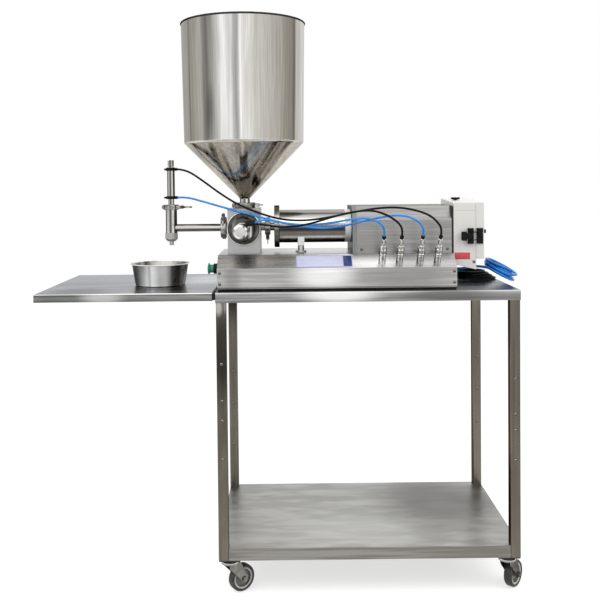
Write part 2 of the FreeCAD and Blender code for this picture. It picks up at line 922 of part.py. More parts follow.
def cylinder_stub():
    return stub((block_right, process_y, drive_z), (1, 0, 0), cylinder_joint - block_right,
                cylinder_pipe_diameter, cylinder_ferrule_diameter)


def bonnet_front():
    return block_front - valve_cover_thickness - bonnet_length


def make_valve_cover():
    """The round cover with its bonnet, turned in one piece."""
    outer = valve_cover_diameter / 2
    hub = bonnet_diameter / 2
    bore = valve_rod_diameter / 2 + running_gap
    thick = valve_cover_thickness
    end = thick + bonnet_length
    profile = [(bore, 0), (outer, 0), (outer, 5), (outer - 2, 6), (outer - 2, 8), (outer, 9),
               (outer, thick - 2), (outer - 3, thick), (hub + 6, thick), (hub, thick + 5), (hub, end - 9),
               (hub - 3, end - 8), (hub - 3, end - 6), (hub, end - 5), (hub, end - 1), (hub - 1, end),
               (bore, end)]
    cover = lathe(profile, (valve_x, block_front, valve_z), (0, -1, 0))
    plug = ring(spool_diameter - 0.2, 2 * bore, 4.0, (valve_x, block_front, valve_z), (0, 1, 0))
    return mix(cover, plug)


def make_valve_actuator():
    """The in-line air cylinder that shifts the spool: a hollow barrel with closed ends."""
    barrel = actuator_diameter / 2
    cap = actuator_cap_diameter / 2
    bore = actuator_bore / 2
    passage = valve_rod_diameter / 2 + free_gap
    end = actuator_length
    front = end - actuator_cap_length
    wall = 5.0
    outer = [(passage, 0), (cap, 0), (cap, 12), (cap - 1.5, 13), (barrel, 13), (barrel, front),
             (cap - 1, front), (cap, front + 1), (cap, end - 1.5), (cap - 1.5, end), (0, end)]
    inner = [(0, end - wall), (bore, end - wall), (bore, wall), (passage, wall)]
    return lathe(outer + inner, (valve_x, bonnet_front(), valve_z), (0, -1, 0))


def valve_piston_y():
    return bonnet_front() - actuator_length + 5.0 + 3.0


def make_valve_spool():
    """The spool, its rod and its air piston. One passage turns down from the hopper, one runs across."""
    radius = spool_diameter / 2 - running_gap
    length = spool_length
    profile = [(0, 0), (radius - 1, 0), (radius, 1), (radius, length - 1), (radius - 1, length), (0, length)]
    body = lathe(profile, (valve_x, spool_front(), valve_z), (0, 1, 0))
    bore = port_diameter
    elbow_up = rod((valve_x, passage_y(), valve_z), (0, 0, 1), bore, radius + 2)
    elbow_side = rod((valve_x - bore / 2 + 1, passage_y(), valve_z), (1, 0, 0), bore, 2 * radius)
    across = rod((valve_x - spool_diameter, passage_y() - spool_travel, valve_z), (1, 0, 0), bore,
                 2 * spool_diameter)
    body = body.cut(group([elbow_up])).cut(elbow_side).cut(across)
    rod_start = valve_piston_y()
    stem = rod((valve_x, rod_start, valve_z), (0, 1, 0), valve_rod_diameter, spool_front() - rod_start + 1)
    piston = rod((valve_x, rod_start, valve_z), (0, 1, 0), actuator_bore - 2 * running_gap, valve_piston_length)
    return mix(body, stem, piston)


# clamps

def clamp(centre, axis, outer, width, ferrule, pipe, opening, handle=0.0):
    """A two-part pipe clamp: halves, hinge pin, bolt and wing nut. It opens along a direction."""
    lip = max(pipe / 2 + body_gap, ferrule / 2 - clamp_lip)
    groove = ferrule_thickness + 0.5
    half = width / 2
    body = [(ferrule / 2, -groove), (lip, -groove), (lip, -half), (outer / 2 - 1, -half),
            (outer / 2, -half + 1), (outer / 2, half - 1), (outer / 2 - 1, half), (lip, half),
            (lip, groove), (ferrule / 2, groove)]
    whole = lathe(body, (0, 0, 0), (0, 0, 1))
    reach = outer / 2
    ear = box((reach - 3, -8, -half + 3), (reach + 12, 8, half - 3))
    knuckle = box((-reach - 7, -5, -half + 3), (-reach + 2, 5, half - 3))
    whole = mix(whole, ear, knuckle)
    # the split leaves the halves apart, and the groove stays open where the ferrules pass
    space = rod((0, 0, -groove), (0, 0, 1), ferrule, 2 * groove)
    split = box((-2 * outer, -clamp_split / 2, -width), (2 * outer, clamp_split / 2, width))
    whole = whole.cut(space).cut(split)
    bolt_x = reach + 6.5
    bolt = rod((bolt_x, -13, 0), (0, 1, 0), 5.0, 34)
    head = rod((bolt_x, -13, 0), (0, 1, 0), 9.0, 4.0)
    pin = rod((-reach - 3.5, 0, -half + 1), (0, 0, 1), 4.0, width - 2)
    whole = whole.cut(group([bolt, pin]))
    hub = rod((bolt_x, 8, 0), (0, 1, 0), 10.0, 12.0)
    if handle:
        outline = [(bolt_x, 10), (bolt_x + handle * 0.9, 10), (bolt_x + handle, 20), (bolt_x, 18)]
        wings = [prism_z(outline, -2.5, 5.0)]
    else:
        wings = []
        for side in (-1, 1):
            outline = [(bolt_x, 13), (bolt_x + side * 6, 13), (bolt_x + side * 15, 23),
                       (bolt_x + side * 13, 27), (bolt_x + side * 8, 26), (bolt_x, 19)]
            wings.append(prism_z(outline, -1.6, 3.2))
    nut = mix(hub, *wings).cut(bolt)
    pieces = [solid for solid in whole.Solids] + [mix(bolt, head), pin, nut]
    first = FreeCAD.Rotation(V(1, 0, 0), V(*opening))
    turned_up = first.multVec(V(0, 0, 1))
    second = FreeCAD.Rotation(turned_up, V(*axis))
    placed = []
    for piece in pieces:
        copy = piece.copy()
        copy.Placement = FreeCAD.Placement(V(*centre), second.multiply(first)).multiply(copy.Placement)
        placed.append(copy)
    return placed


def make_clamps():
    pieces = clamp((valve_x, process_y, hopper_joint), (0, 0, 1), clamp_diameter, clamp_width,
                   ferrule_diameter, pipe_diameter, (1, 0, 0))
    pieces += clamp((outlet_joint, process_y, valve_z), (1, 0, 0), clamp_diameter, clamp_width,
                    ferrule_diameter, pipe_diameter, (0, -0.5, 0.866))
    pieces += clamp((cylinder_joint, process_y, drive_z), (1, 0, 0), cylinder_clamp_diameter, clamp_width,
                    cylinder_ferrule_diameter, cylinder_pipe_diameter, (0, -0.707, -0.707))
    pieces += clamp((nozzle_x, process_y, nozzle_joint()), (0, 0, 1), small_clamp_diameter, small_clamp_width,
                    small_ferrule_diameter, nozzle_diameter, (0.94, -0.342, 0), handle=30.0)
    return group(pieces)


# nozzle

def nozzle_joint():
    """The height where the nozzle body and its cylinder meet."""
    return valve_z + nozzle_above_axis + small_clamp_width / 2


def nozzle_bottom():
    return valve_z - nozzle_below_axis


def make_nozzle_body():
    """The upright body with its arm pipe, welded together."""
    outer = nozzle_diameter / 2
    bore = nozzle_bore / 2
    lip = small_ferrule_diameter / 2
    low = nozzle_bottom()
    joint = nozzle_joint() - low
    profile = [(bore, 0), (outer, 0), (outer, joint - ferrule_thickness), (lip, joint - 1.5), (lip, joint),
               (bore, joint)]
    body = lathe(profile, (nozzle_x, process_y, low))
    pipe_end = outlet_joint
    length = pipe_end - nozzle_x
    pipe = rod((nozzle_x, process_y, valve_z), (1, 0, 0), arm_pipe_diameter, length)
    flange = lathe([(0, 0), (ferrule_diameter / 2, 0), (ferrule_diameter / 2, 1.5),
                    (arm_pipe_diameter / 2, ferrule_thickness), (0, ferrule_thickness)],
                   (pipe_end, process_y, valve_z), (-1, 0, 0))
    inside = rod((nozzle_x, process_y, low), (0, 0, 1), nozzle_bore, joint)
    way = rod((nozzle_x, process_y, valve_z), (1, 0, 0), arm_pipe_bore, length + 1)
    return mix(body, pipe.cut(inside), flange).cut(way)


def make_cap_nut():
    """The knurled nut with its outlet tip, closing the body's lower end."""
    low = nozzle_bottom()
    outer = cap_nut_diameter / 2
    seat = tip_bore / 2
    tip = tip_diameter / 2
    drop = cap_nut_height + cap_nut_taper
    profile = [(seat, -5), (nozzle_bore / 2, -5), (nozzle_bore / 2, 0), (outer, 0), (outer, -cap_nut_height),
               (outer * 0.62, -drop), (tip, -drop), (tip, -drop - tip_length + 1),
               (tip - 1, -drop - tip_length), (seat, -drop - tip_length)]
    nut = lathe(profile, (nozzle_x, process_y, low))
    flutes = []
    count = 24
    for i in range(count):
        angle = 2 * math.pi * i / count
        x = nozzle_x + (outer + 0.6) * math.cos(angle)
        y = process_y + (outer + 0.6) * math.sin(angle)
        flutes.append(rod((x, y, low - cap_nut_height + 2), (0, 0, 1), 2.6, cap_nut_height - 4))
    return nut.cut(group(flutes))


def nozzle_cylinder_floor():
    """The height of the cylinder's inside floor, above the joint."""
    return nozzle_joint() + nozzle_neck_length


def make_nozzle_cylinder():
    lip = small_ferrule_diameter / 2
    neck = nozzle_neck_diameter / 2
    body = nozzle_cylinder_diameter / 2
    bore = nozzle_cylinder_bore / 2
    guide = plunger_diameter / 2 + running_gap
    cap = nozzle_cap_diameter / 2
    low = nozzle_neck_length
    top = low + nozzle_cylinder_length
    end = top + nozzle_cap_length
    outer = [(guide, 0), (lip, 0), (lip, 1.5), (neck, ferrule_thickness), (neck, low), (body, low), (body, top),
             (cap - 2, top), (cap - 2, top + 2), (cap, top + 2), (cap, end - 1), (cap - 1, end), (0, end)]
    inner = [(0, top - 4), (bore, top - 4), (bore, low + 2), (guide, low + 2)]
    return lathe(outer + inner, (nozzle_x, process_y, nozzle_joint()))


def make_nozzle_plunger():
    """The shut-off rod: it rests on the cap nut's seat and lifts to open."""
    seat_z = nozzle_bottom() - 5.0
    radius = plunger_diameter / 2
    piston = nozzle_cylinder_bore / 2 - running_gap
    piston_z = nozzle_cylinder_floor() + 2.0 + 10.0 - seat_z
    profile = [(0, -2), (tip_bore / 2 - 1.2, -2), (tip_bore / 2 - 0.6, 0), (radius + 3, 0), (radius + 3, 6),
               (radius, 9), (radius, piston_z), (piston, piston_z),
               (piston, piston_z + plunger_piston_length), (0, piston_z + plunger_piston_length)]
    return lathe(profile, (nozzle_x, process_y, seat_z + body_gap))


# fittings

def banjo(height, stub_left, outlet):
    """A ring fitting round the nozzle cylinder, with a plugged stub and a tube outlet."""
    inner = nozzle_cylinder_diameter
    band = ring(inner + 6.0, inner, 9.0, (nozzle_x, process_y, height - 4.5), (0, 0, 1))
    left = rod((nozzle_x - inner / 2 - 1, process_y, height), (-1, 0, 0), 6.0, stub_left)
    right = rod((nozzle_x + inner / 2 + 1, process_y, height), (1, 0, 0), 9.0, outlet)
    return mix(band, left, right)


def elbow_fitting(y):
    """A push-in elbow on the valve actuator, leaving to the right."""
    reach = actuator_cap_diameter / 2
    slant = math.sqrt(0.5)
    centre = (valve_x + (reach + 9) * slant, y, valve_z + (reach + 9) * slant)
    start = (valve_x + (reach - 4) * slant, y, valve_z + (reach - 4) * slant)
    stem = rod(start, (slant, 0, slant), 9.0, 13.0)
    head = rod((centre[0] - 6, y, centre[2]), (1, 0, 0), 12.0, 20.0)
    hidden = rod((valve_x, y - 20, valve_z), (0, 1, 0), 2 * reach, 40)
    return mix(stem, head).cut(hidden)


def actuator_ports():
    """Where the two elbows sit along the actuator."""
    rear = bonnet_front() - 6.0
    front = bonnet_front() - actuator_length + actuator_cap_length / 2
    return rear, front


def nozzle_ports():
    """The heights of the nozzle cylinder's fittings."""
    low = nozzle_cylinder_floor()
    return low + 4.5, low + nozzle_cylinder_length - 6.0


def make_fittings():
    low, high = nozzle_ports()
    pieces = [banjo(low, 8.0, 7.0), banjo(high, 7.0, 7.0)]
    for y in actuator_ports():
        pieces.append(elbow_fitting(y))
    for y, z in gland_places():
        nut = hexagon((base_right, y, z), (1, 0, 0), 14.0, gland_nut_length)
        body_start = base_right - end_plate_thickness - 3
        body = rod((body_start, y, z), (1, 0, 0), gland_diameter, end_plate_thickness + 3)
        sleeve = rod((base_right + gland_nut_length, y, z), (1, 0, 0), 12.0, gland_sleeve_length)
        pieces.append(mix(nut, body, sleeve))
    x, y, z = cable_gland_place()
    hank_top = table_height + body_gap + hank_height
    stem = rod((x, y, hank_top), (0, 0, 1), gland_diameter, z + 6 - hank_top)
    nut = hexagon((x, y, hank_top + 2), (0, 0, 1), 14.0, z - box_slant * 0.16 - hank_top - 2)
    pieces.append(mix(stem, nut))
    return group(pieces)


# hopper

def make_hopper():
    """A thin turned shell of cone, wall and rolled rim, on a pipe neck with its ferrule."""
    lip = ferrule_diameter / 2
    neck = pipe_diameter / 2
    bore = hopper_neck_bore / 2
    shoulder = hopper_shoulder_diameter / 2
    top = hopper_top_diameter / 2
    wall = hopper_wall
    neck_top = ferrule_thickness + hopper_neck_length
    shoulder_z = neck_top + hopper_cone_height
    rim_z = shoulder_z + hopper_wall_height
    stub = lathe([(bore, 0), (lip, 0), (lip, 1.5), (neck, ferrule_thickness), (neck, neck_top), (bore, neck_top)])
    shell = lathe([(bore, neck_top), (neck, neck_top), (shoulder, shoulder_z), (top, rim_z), (top - wall, rim_z),
                   (shoulder - wall, shoulder_z + 1), (bore, neck_top + 1)])
    shoulder_edges = edges_at(shell, lambda p: abs(p.z - shoulder_z) < 2)
    shell = shell.makeFillet(shoulder_radius, shoulder_edges)
    bead = Part.makeTorus(top - wall / 2, rim_bead_diameter / 2, V(0, 0, rim_z))
    hopper = group([mix(shell, bead), stub])
    hopper.translate(V(valve_x, process_y, hopper_joint))
    return hopper


# couplers

def along_coupler(x, distance):
    """A point that far up a coupler's axis."""
    foot = coupler_foot(x)
    normal = slope_normal()
    return (foot[0], foot[1] + distance * normal[0], foot[2] + distance * normal[1])


def make_couplers():
    """Sockets screwed into the sloping panel, with the plugs that carry the tubes."""
    way = (0,) + slope_normal()
    pieces = []
    for x in coupler_places:
        foot = hexagon(along_coupler(x, 0), way, coupler_hex, coupler_hex_height)
        shank = rod(along_coupler(x, -coupler_shank_length), way, coupler_shank_diameter, coupler_shank_length)
        socket = rod(along_coupler(x, coupler_hex_height), way, socket_diameter,
                     socket_height - coupler_hex_height)
        collar = rod(along_coupler(x, coupler_hex_height), way, socket_diameter + 3,
                     sleeve_place - coupler_hex_height - body_gap)
        pieces.append(mix(foot, shank, socket, collar))
        radius = plug_diameter / 2
        profile = [(0, 0), (radius, 0), (radius, 6), (radius - 2, 8), (radius - 2, 12), (radius - 0.5, 14),
                   (radius - 0.5, plug_height - 1), (radius - 1.5, plug_height), (0, plug_height)]
        pieces.append(lathe(profile, along_coupler(x, socket_height), way))
        nut = lathe([(0, 0), (tube_nut_diameter / 2, 0), (tube_nut_diameter / 2, tube_nut_height * 0.8),
                     (tube_nut_diameter / 2 - 1.5, tube_nut_height), (0, tube_nut_height)],
                    along_coupler(x, socket_height + plug_height), way)
        pieces.append(nut)
    return group(pieces)


def make_sleeve(x):
    """A sliding sleeve that frees the plug when it is drawn back."""
    way = (0,) + slope_normal()
    bore = socket_diameter / 2 + running_gap
    outer = sleeve_diameter / 2
    height = sleeve_height - sleeve_travel
    profile = [(bore, 0), (outer - 1, 0), (outer, 1), (outer, 4), (outer - 1.5, 5), (outer - 1.5, height - 6),
               (outer, height - 5), (outer, height - 1), (outer - 1, height), (bore, height)]
    return lathe(profile, along_coupler(x, sleeve_place + sleeve_travel), way)


# control box

def box_top_z():
    return base_bottom - 5.0 + box_bottom + box_height


def box_profile(inset=0.0):
    """The box's (X, Z) outline with its slanting bottom."""
    left = box_left + inset
    right = box_right
    low_left = box_z + inset
    low_right = box_z - box_slant + inset
    top = box_top_z() + box_top_rise
    return [(left, low_left), (right, low_right), (right, top), (left, top)]


def top_cutter(inset=0.0):
    """What is cut away above the box's sloping top."""
    front = box_front
    back = box_front + box_depth
    low = box_top_z() - inset
    high = low + box_top_rise
    above = high + box_top_rise
    outline = [(front - 1, low), (front, low), (back, high), (back + 1, high), (back + 1, above),
               (front - 1, above)]
    return prism_x(outline, box_left - door_length, box_length + 3 * door_length)


def make_control_box():
    outer = prism_y(box_profile(), box_front, box_depth).cut(top_cutter())
    upright = [e for e in upright_edges(outer) if e.CenterOfMass.x < box_left + 1]
    outer = outer.makeFillet(fold_radius, upright)
    hollow = prism_y(box_profile(box_wall), box_front + box_wall, box_depth - 2 * box_wall)
    open_side = box((box_right - 1, box_front + box_wall, box_z - box_slant + 2 * box_wall),
                    (box_right + 1, box_front + box_depth - box_wall, box_top_z()))
    shell = outer.cut(hollow.cut(top_cutter(box_wall))).cut(open_side.common(hollow))
    knob_x = box_left + knob_place
    knob_y = box_front + knob_depth_place
    shell = shell.cut(rod((knob_x, knob_y, box_top_z() - 10), (0, 0, 1), 6.0 + 2 * running_gap, 40))
    x, y, z = cable_gland_place()
    shell = shell.cut(rod((x, y, z - 10), (0, 0, 1), gland_diameter, 20))
    return mix(shell, *box_knuckles())


def hinge_axis():
    """The door hinge's X and Y: behind the box's rear right corner."""
    return (box_right + body_gap / 2, box_front + box_depth + knuckle_diameter / 2 + body_gap)


def knuckle_levels():
    """The middles of the two hinges."""
    low = door_low()
    return (low + door_height * 0.2, low + door_height * 0.8)


def box_knuckles():
    """Half of each hinge with its pin, fixed to the box's back."""
    x, y = hinge_axis()
    back = box_front + box_depth
    pieces = []
    for level in knuckle_levels():
        low = level - knuckle_length / 2
        half = knuckle_length / 2 - body_gap / 2
        leaf = box((x - 16, back - 0.5, low), (x - 2, back + 2.5, low + half))
        knuckle = rod((x, y, low), (0, 0, 1), knuckle_diameter, half)
        web = box((x - 6, back + 0.5, low), (x, y + 1, low + half))
        pin = rod((x, y, low), (0, 0, 1), hinge_pin_diameter, knuckle_length - 2)
        pieces += [leaf, knuckle, web, pin]
    return pieces


def door_low():
    return box_top_z() - door_height


def make_door():
    """The box's hollow door, hinged at the back, with its half of each hinge."""
    start = box_right + body_gap
    low = (start, box_front, door_low())
    high = (start + door_length, box_front + box_depth, box_top_z() + box_top_rise)
    outer = box(low, high).cut(top_cutter())
    upright = [e for e in upright_edges(outer) if e.CenterOfMass.x > start + 1]
    outer = outer.makeFillet(2 * fold_radius, upright)
    hollow = box((start - 1, low[1] + box_wall, low[2] + box_wall),
                 (high[0] - box_wall, high[1] - box_wall, high[2]))
    door = outer.cut(hollow.cut(top_cutter(box_wall)))
    x, y = hinge_axis()
    back = box_front + box_depth
    pieces = []
    for level in knuckle_levels():
        foot = level + body_gap / 2
        half = knuckle_length / 2 - body_gap / 2
        knuckle = rod((x, y, foot), (0, 0, 1), knuckle_diameter, half)
        web = box((x, back + 0.5, foot), (x + 6, y + 1, foot + half))
        leaf = box((x + 2, back - 0.5, foot), (x + 16, back + 2.5, foot + half))
        pieces += [knuckle, web, leaf]
    door = mix(door, *pieces)
    for level in knuckle_levels():
        door = door.cut(rod((x, y, level - knuckle_length), (0, 0, 1), hinge_pin_diameter + 2 * running_gap,
                            2 * knuckle_length))
    return door


def latch_middle_z():
    return base_bottom + latch_middle - 6.0


def latch_pivot():
    """The lever's hinge, in X and Y, in front of the box."""
    x = box_right - latch_base_width
    return (x, box_front - latch_base_thickness - latch_pin_diameter / 2 - latch_hub_wall - free_gap)


def make_latch_base():
    x, y = latch_pivot()
    z = latch_middle_z()
    half = latch_height / 2
    front = box_front - latch_base_thickness
    plate = box((x - latch_base_width / 2, front, z - half), (x + latch_base_width / 2, box_front, z + half))
    pieces = [plate]
    inner = latch_handle_height / 2 + body_gap
    for low, high in ((z - half, z - inner), (z + inner, z + half)):
        pieces.append(box((x - 5, y - 4, low), (x + 5, front + 1, high)))
    base = mix(*pieces)
    base = base.makeFillet(1.0, edges_at(base, lambda p: abs(p.y - (y - 4)) < 0.01))
    hole = rod((x, y, z - latch_height), (0, 0, 1), latch_pin_diameter + 2 * running_gap, 2 * latch_height)
    return base.cut(hole)


def bail_root():
    """The bail's own pivot in the lever's neck, in X and Y."""
    x, y = latch_pivot()
    return (x - 8.0, y - 5.0)


def make_latch_lever():
    """The lever: a wide handle, a neck that holds the bail, and its hinge pin."""
    x, y = latch_pivot()
    z = latch_middle_z()
    neck = latch_neck_height / 2
    half = latch_handle_height / 2
    root = bail_root()
    back = root[1] + latch_lever_thickness / 2
    front = back - latch_lever_thickness
    split = x - latch_neck_length
    handle = box((split - latch_handle_length, front, z - half), (split, back, z + half))
    tip = edges_at(handle, lambda p: p.x < split - 1 and abs(p.y - (front + back) / 2) < 0.01)
    handle = handle.makeFillet(4.0, tip)
    bar = box((split - 1, front, z - neck), (x, back, z + neck))
    hub = rod((x, y, z - neck), (0, 0, 1), latch_pin_diameter + 2 * latch_hub_wall, 2 * neck)
    web = box((x - 2.5, front + 1, z - neck), (x + 0.5, y, z + neck))
    pin = rod((x, y, z - latch_height / 2), (0, 0, 1), latch_pin_diameter, latch_height)
    hole = rod((root[0], root[1], z - half), (0, 0, 1), bail_wire + 2 * running_gap, 2 * half)
    return mix(handle, bar, hub, web, pin).cut(hole)


def catch_lip_x():
    """The X of the lip that the bail hooks over."""
    return box_right + body_gap + 1.0 + catch_width * 0.25


def make_latch_catch():
    """The hook plate on the door, with a small round knob on the door's side."""
    start = box_right + body_gap + 1.0
    z = latch_middle_z()
    half = latch_height / 2
    front = box_front - catch_thickness
    plate = box((start, front, z - half), (start + catch_width, box_front, z + half))
    lip_x = catch_lip_x()
    lip = box((lip_x - 2.5, front - catch_lip, z - 9), (lip_x + 2.5, front, z + 9))
    hook = mix(plate, lip)
    door_right = box_right + body_gap + door_length
    knob = lathe([(0, 0), (3, 0), (3, 2), (6, 3), (6, 6), (4.5, 7), (0, 7)],
                 (door_right, box_front + 14, z + 12), (1, 0, 0))
    return group([hook, knob])


def make_latch_bail():
    """A wire loop from the lever that lies over the hook's lip."""
    x, y = bail_root()
    z = latch_middle_z()
    radius = bail_wire / 2
    half = latch_handle_height / 2 - radius - body_gap
    hook_x = catch_lip_x()
    front_y = box_front - catch_thickness - catch_lip - radius - body_gap
    pieces = [rod((x, y, z - half), (0, 0, 1), bail_wire, 2 * half)]
    pieces.append(rod((hook_x, front_y, z - half), (0, 0, 1), bail_wire, 2 * half))
    for side in (-1, 1):
        start = V(x, y, z + side * half)
        end = V(hook_x, front_y, z + side * half)
        way = end - start
        pieces.append(Part.makeCylinder(radius, way.Length, start, way))
        pieces.append(Part.makeSphere(radius, start))
        pieces.append(Part.makeSphere(radius, end))
    return mix(*pieces)


def knob_centre():
    """The wing knob's X, Y and the height of the top under it."""
    x = box_left + knob_place
    y = box_front + knob_depth_place
    share = knob_depth_place / box_depth
    return x, y, box_top_z() + box_top_rise * share


def make_box_knob():
    """A wing knob whose stem goes through the box's top."""
    x, y, z = knob_centre()
    foot = z + 1.2
    stem = rod((x, y, foot - 14), (0, 0, 1), 6.0, 16)
    keeper = rod((x, y, foot - 14), (0, 0, 1), 11.0, 4.0)
    hub = lathe([(0, 0), (7, 0), (6, 6), (4, 8), (0, 8)], (x, y, foot))
    wings = []
    for side in (-1, 1):
        reach = side * knob_span
        outline = [(x, foot + 1), (x + reach * 0.38, foot + 1), (x + reach * 0.5, foot + 4),
                   (x + reach * 0.46, foot + 8), (x + reach * 0.3, foot + 8), (x, foot + 6)]
        wings.append(prism_y(outline, y - 2.2, 4.4))
    return mix(stem, keeper, hub, *wings)


def cable_gland_place():
    """Where the cable goes back into the box's bottom: X, Y and the bottom's height there."""
    x = box_left + box_length / 2
    y = gland_places()[1][0] - 25.0
    z = box_z - box_slant / 2
    return x, y, z


# bowl

def make_bowl():
    """A pressed bowl with a flat rim."""
    rim = bowl_rim_diameter / 2
    mouth = bowl_mouth_diameter / 2
    foot = bowl_base_diameter / 2
    side = foot + bowl_corner
    height = bowl_height
    wall = bowl_wall
    outer = [(0, 0), (foot, 0), (side, bowl_corner), (mouth, height - wall), (rim, height - wall), (rim, height)]
    inner = [(mouth - wall, height), (side - wall, bowl_corner + wall / 2), (foot - wall / 2, wall), (0, wall)]
    return lathe(outer + inner, (bowl_x, bowl_y, bowl_z))


# cords

def tube_ends():
    """Where each air tube starts and ends, from the fittings."""
    low, high = nozzle_ports()
    rear, front = actuator_ports()
    slant = math.sqrt(0.5)
    reach = actuator_cap_diameter / 2 + 9
    elbow = (valve_x + reach * slant + 14, valve_z + reach * slant)
    nozzle_face = nozzle_x + nozzle_cylinder_diameter / 2 + 8
    tops = [along_coupler(x, socket_height + plug_height + tube_nut_height) for x in coupler_places]
    return {"tube_black_nozzle": ((nozzle_face, process_y, high), tops[3]),
            "tube_blue_nozzle": ((nozzle_face, process_y, low), tops[2]),
            "tube_black_valve": ((elbow[0], front, elbow[1]), tops[1]),
            "tube_blue_valve": ((elbow[0], rear, elbow[1]), tops[0])}


tube_routes = {
    "tube_black_nozzle": [(-97, 188, 1188), (-48, 169, 1160), (4, 145, 1122), (58, 120, 1089), (122, 102, 1063),
                          (186, 88, 1045), (252, 80, 1042), (316, 70, 1051), (380, 56, 1065), (446, 40, 1077),
                          (508, 22, 1080), (560, 0, 1070), (592, -14, 1056)],
    "tube_blue_nozzle": [(-98, 186, 1109), (-50, 165, 1099), (4, 124, 1085), (58, 84, 1071), (118, 66, 1056),
                         (180, 58, 1040), (240, 54, 1027), (302, 48, 1021), (364, 40, 1029), (424, 28, 1045),
                         (484, 8, 1058), (519, -10, 1058), (544, -16.5, 1050)],
    "tube_black_valve": [(136, -27, 1038), (180, -17, 1029), (232, -4, 1031), (282, 6, 1042), (332, 12, 1057),
                         (384, 12, 1069), (430, 2, 1073), (463, -11, 1064), (487, -16.5, 1050.5)],
    "tube_blue_valve": [(134, 42, 1050), (178, 36, 1041), (232, 28, 1033), (290, 20, 1034), (342, 12, 1042),
                        (384, 0, 1050), (413, -12, 1052), (437.5, -16.5, 1047.5)],
}


def route_points(name):
    """A tube's whole route, with its straight way into the coupler."""
    start, end = tube_ends()[name]
    normal = slope_normal()
    place = end[0]
    near = (place, end[1] + 22.5 * normal[0], end[2] + 22.5 * normal[1])
    turn_in = (place - 10.5, end[1] - 19.6, end[2] + 35.1)
    return [start] + tube_routes[name] + [turn_in, near, end]


def cord_tube(name, points, diameter):
    """A round tube along straight runs joined by tangent arcs. Its radii are printed."""
    points = [V(*p) for p in points]
    edges = []
    radii = []
    last = points[0]
    for i in range(1, len(points) - 1):
        before = points[i - 1] - points[i]
        after = points[i + 1] - points[i]
        shorter = min(before.Length, after.Length)
        turn_angle = math.pi - before.getAngle(after)
        reach = 0.45 * shorter
        radius = reach / math.tan(turn_angle / 2)
        radii.append(round(radius, 1))
        before.normalize()
        after.normalize()
        start = points[i] + before * reach
        end = points[i] + after * reach
        bisector = before + after
        bisector.normalize()
        centre_distance = math.hypot(radius, reach)
        middle = points[i] + bisector * (centre_distance - radius)
        edges.append(Part.LineSegment(last, start).toShape())
        edges.append(Part.Arc(start, middle, end).toShape())
        last = end
    edges.append(Part.LineSegment(last, points[-1]).toShape())
    wire = Part.Wire(edges)
    way = points[1] - points[0]
    circle = Part.Wire(Part.makeCircle(diameter / 2, points[0], way))
    solid = wire.makePipeShell([circle], True, False)
    expected = math.pi * diameter ** 2 / 4 * wire.Length
    print(name, "length", round(wire.Length, 1), "radii", radii, "volume share",
          round(solid.Volume / expected, 4))
    return solid


def hose_coil_centre():
    return (table_length - hose_coil_end_inset, base_back - hose_coil_back_inset,
            table_height + hose_coil_rise)


def hose_route():
    """The supply hose from its gland to the coil's near side."""
    y, z = gland_places()[0]
    x = base_right + gland_nut_length + gland_sleeve_length
    return [(x, y, z)] + [(x + a, y + b, z + c) for a, b, c in hose_steps]


def make_hose_coil():
    """The outer shape of the loose turns: a flat ring that leans on the cable."""
    x, y, z = hose_coil_centre()
    outer = hose_coil_radius + hose_coil_band / 2
    inner = hose_coil_radius - hose_coil_band / 2
    half = hose_coil_height / 2
    profile = [(inner, -half + 3), (inner + 4, -half), (outer - 4, -half), (outer, -half + 4),
               (outer, half - 4), (outer - 4, half), (inner + 4, half), (inner, half - 3)]
    coil = lathe(profile)
    coil.rotate(V(0, 0, 0), V(0, 1, 0), hose_coil_tilt)
    coil.translate(V(x, y, z))
    return coil


def make_cable_hank():
    """The outer shape of the black cable's loops, lying on the table under the control box."""
    y, _ = gland_places()[1]
    start = base_right + gland_nut_length + gland_sleeve_length
    end = start + hank_length
    low_z = table_height + body_gap
    low_y = y - hank_width / 2
    outline = [(start, low_z), (end, low_z), (end, low_z + hank_end_height),
               (start + hank_length * 0.4, low_z + hank_height), (start, low_z + hank_height)]
    outer = prism_y(outline, low_y, hank_width)
    outer = outer.makeFillet(hank_width * 0.3, upright_edges(outer))
    slot = box((start + 34, y - hank_opening / 2, low_z - 1),
               (end - 30, y + hank_opening / 2, low_z + hank_height + 1))
    slot = slot.makeFillet(hank_opening * 0.4, upright_edges(slot))
    return outer.cut(slot)


def make_cords():
    nodes = {}
    for name in tube_routes:
        nodes[name] = cord_tube(name, route_points(name), tube_diameter)
    nodes["supply_hose"] = cord_tube("supply_hose", hose_route(), hose_diameter)
    nodes["hose_coil"] = make_hose_coil()
    nodes["cable_hank"] = make_cable_hank()
    return nodes


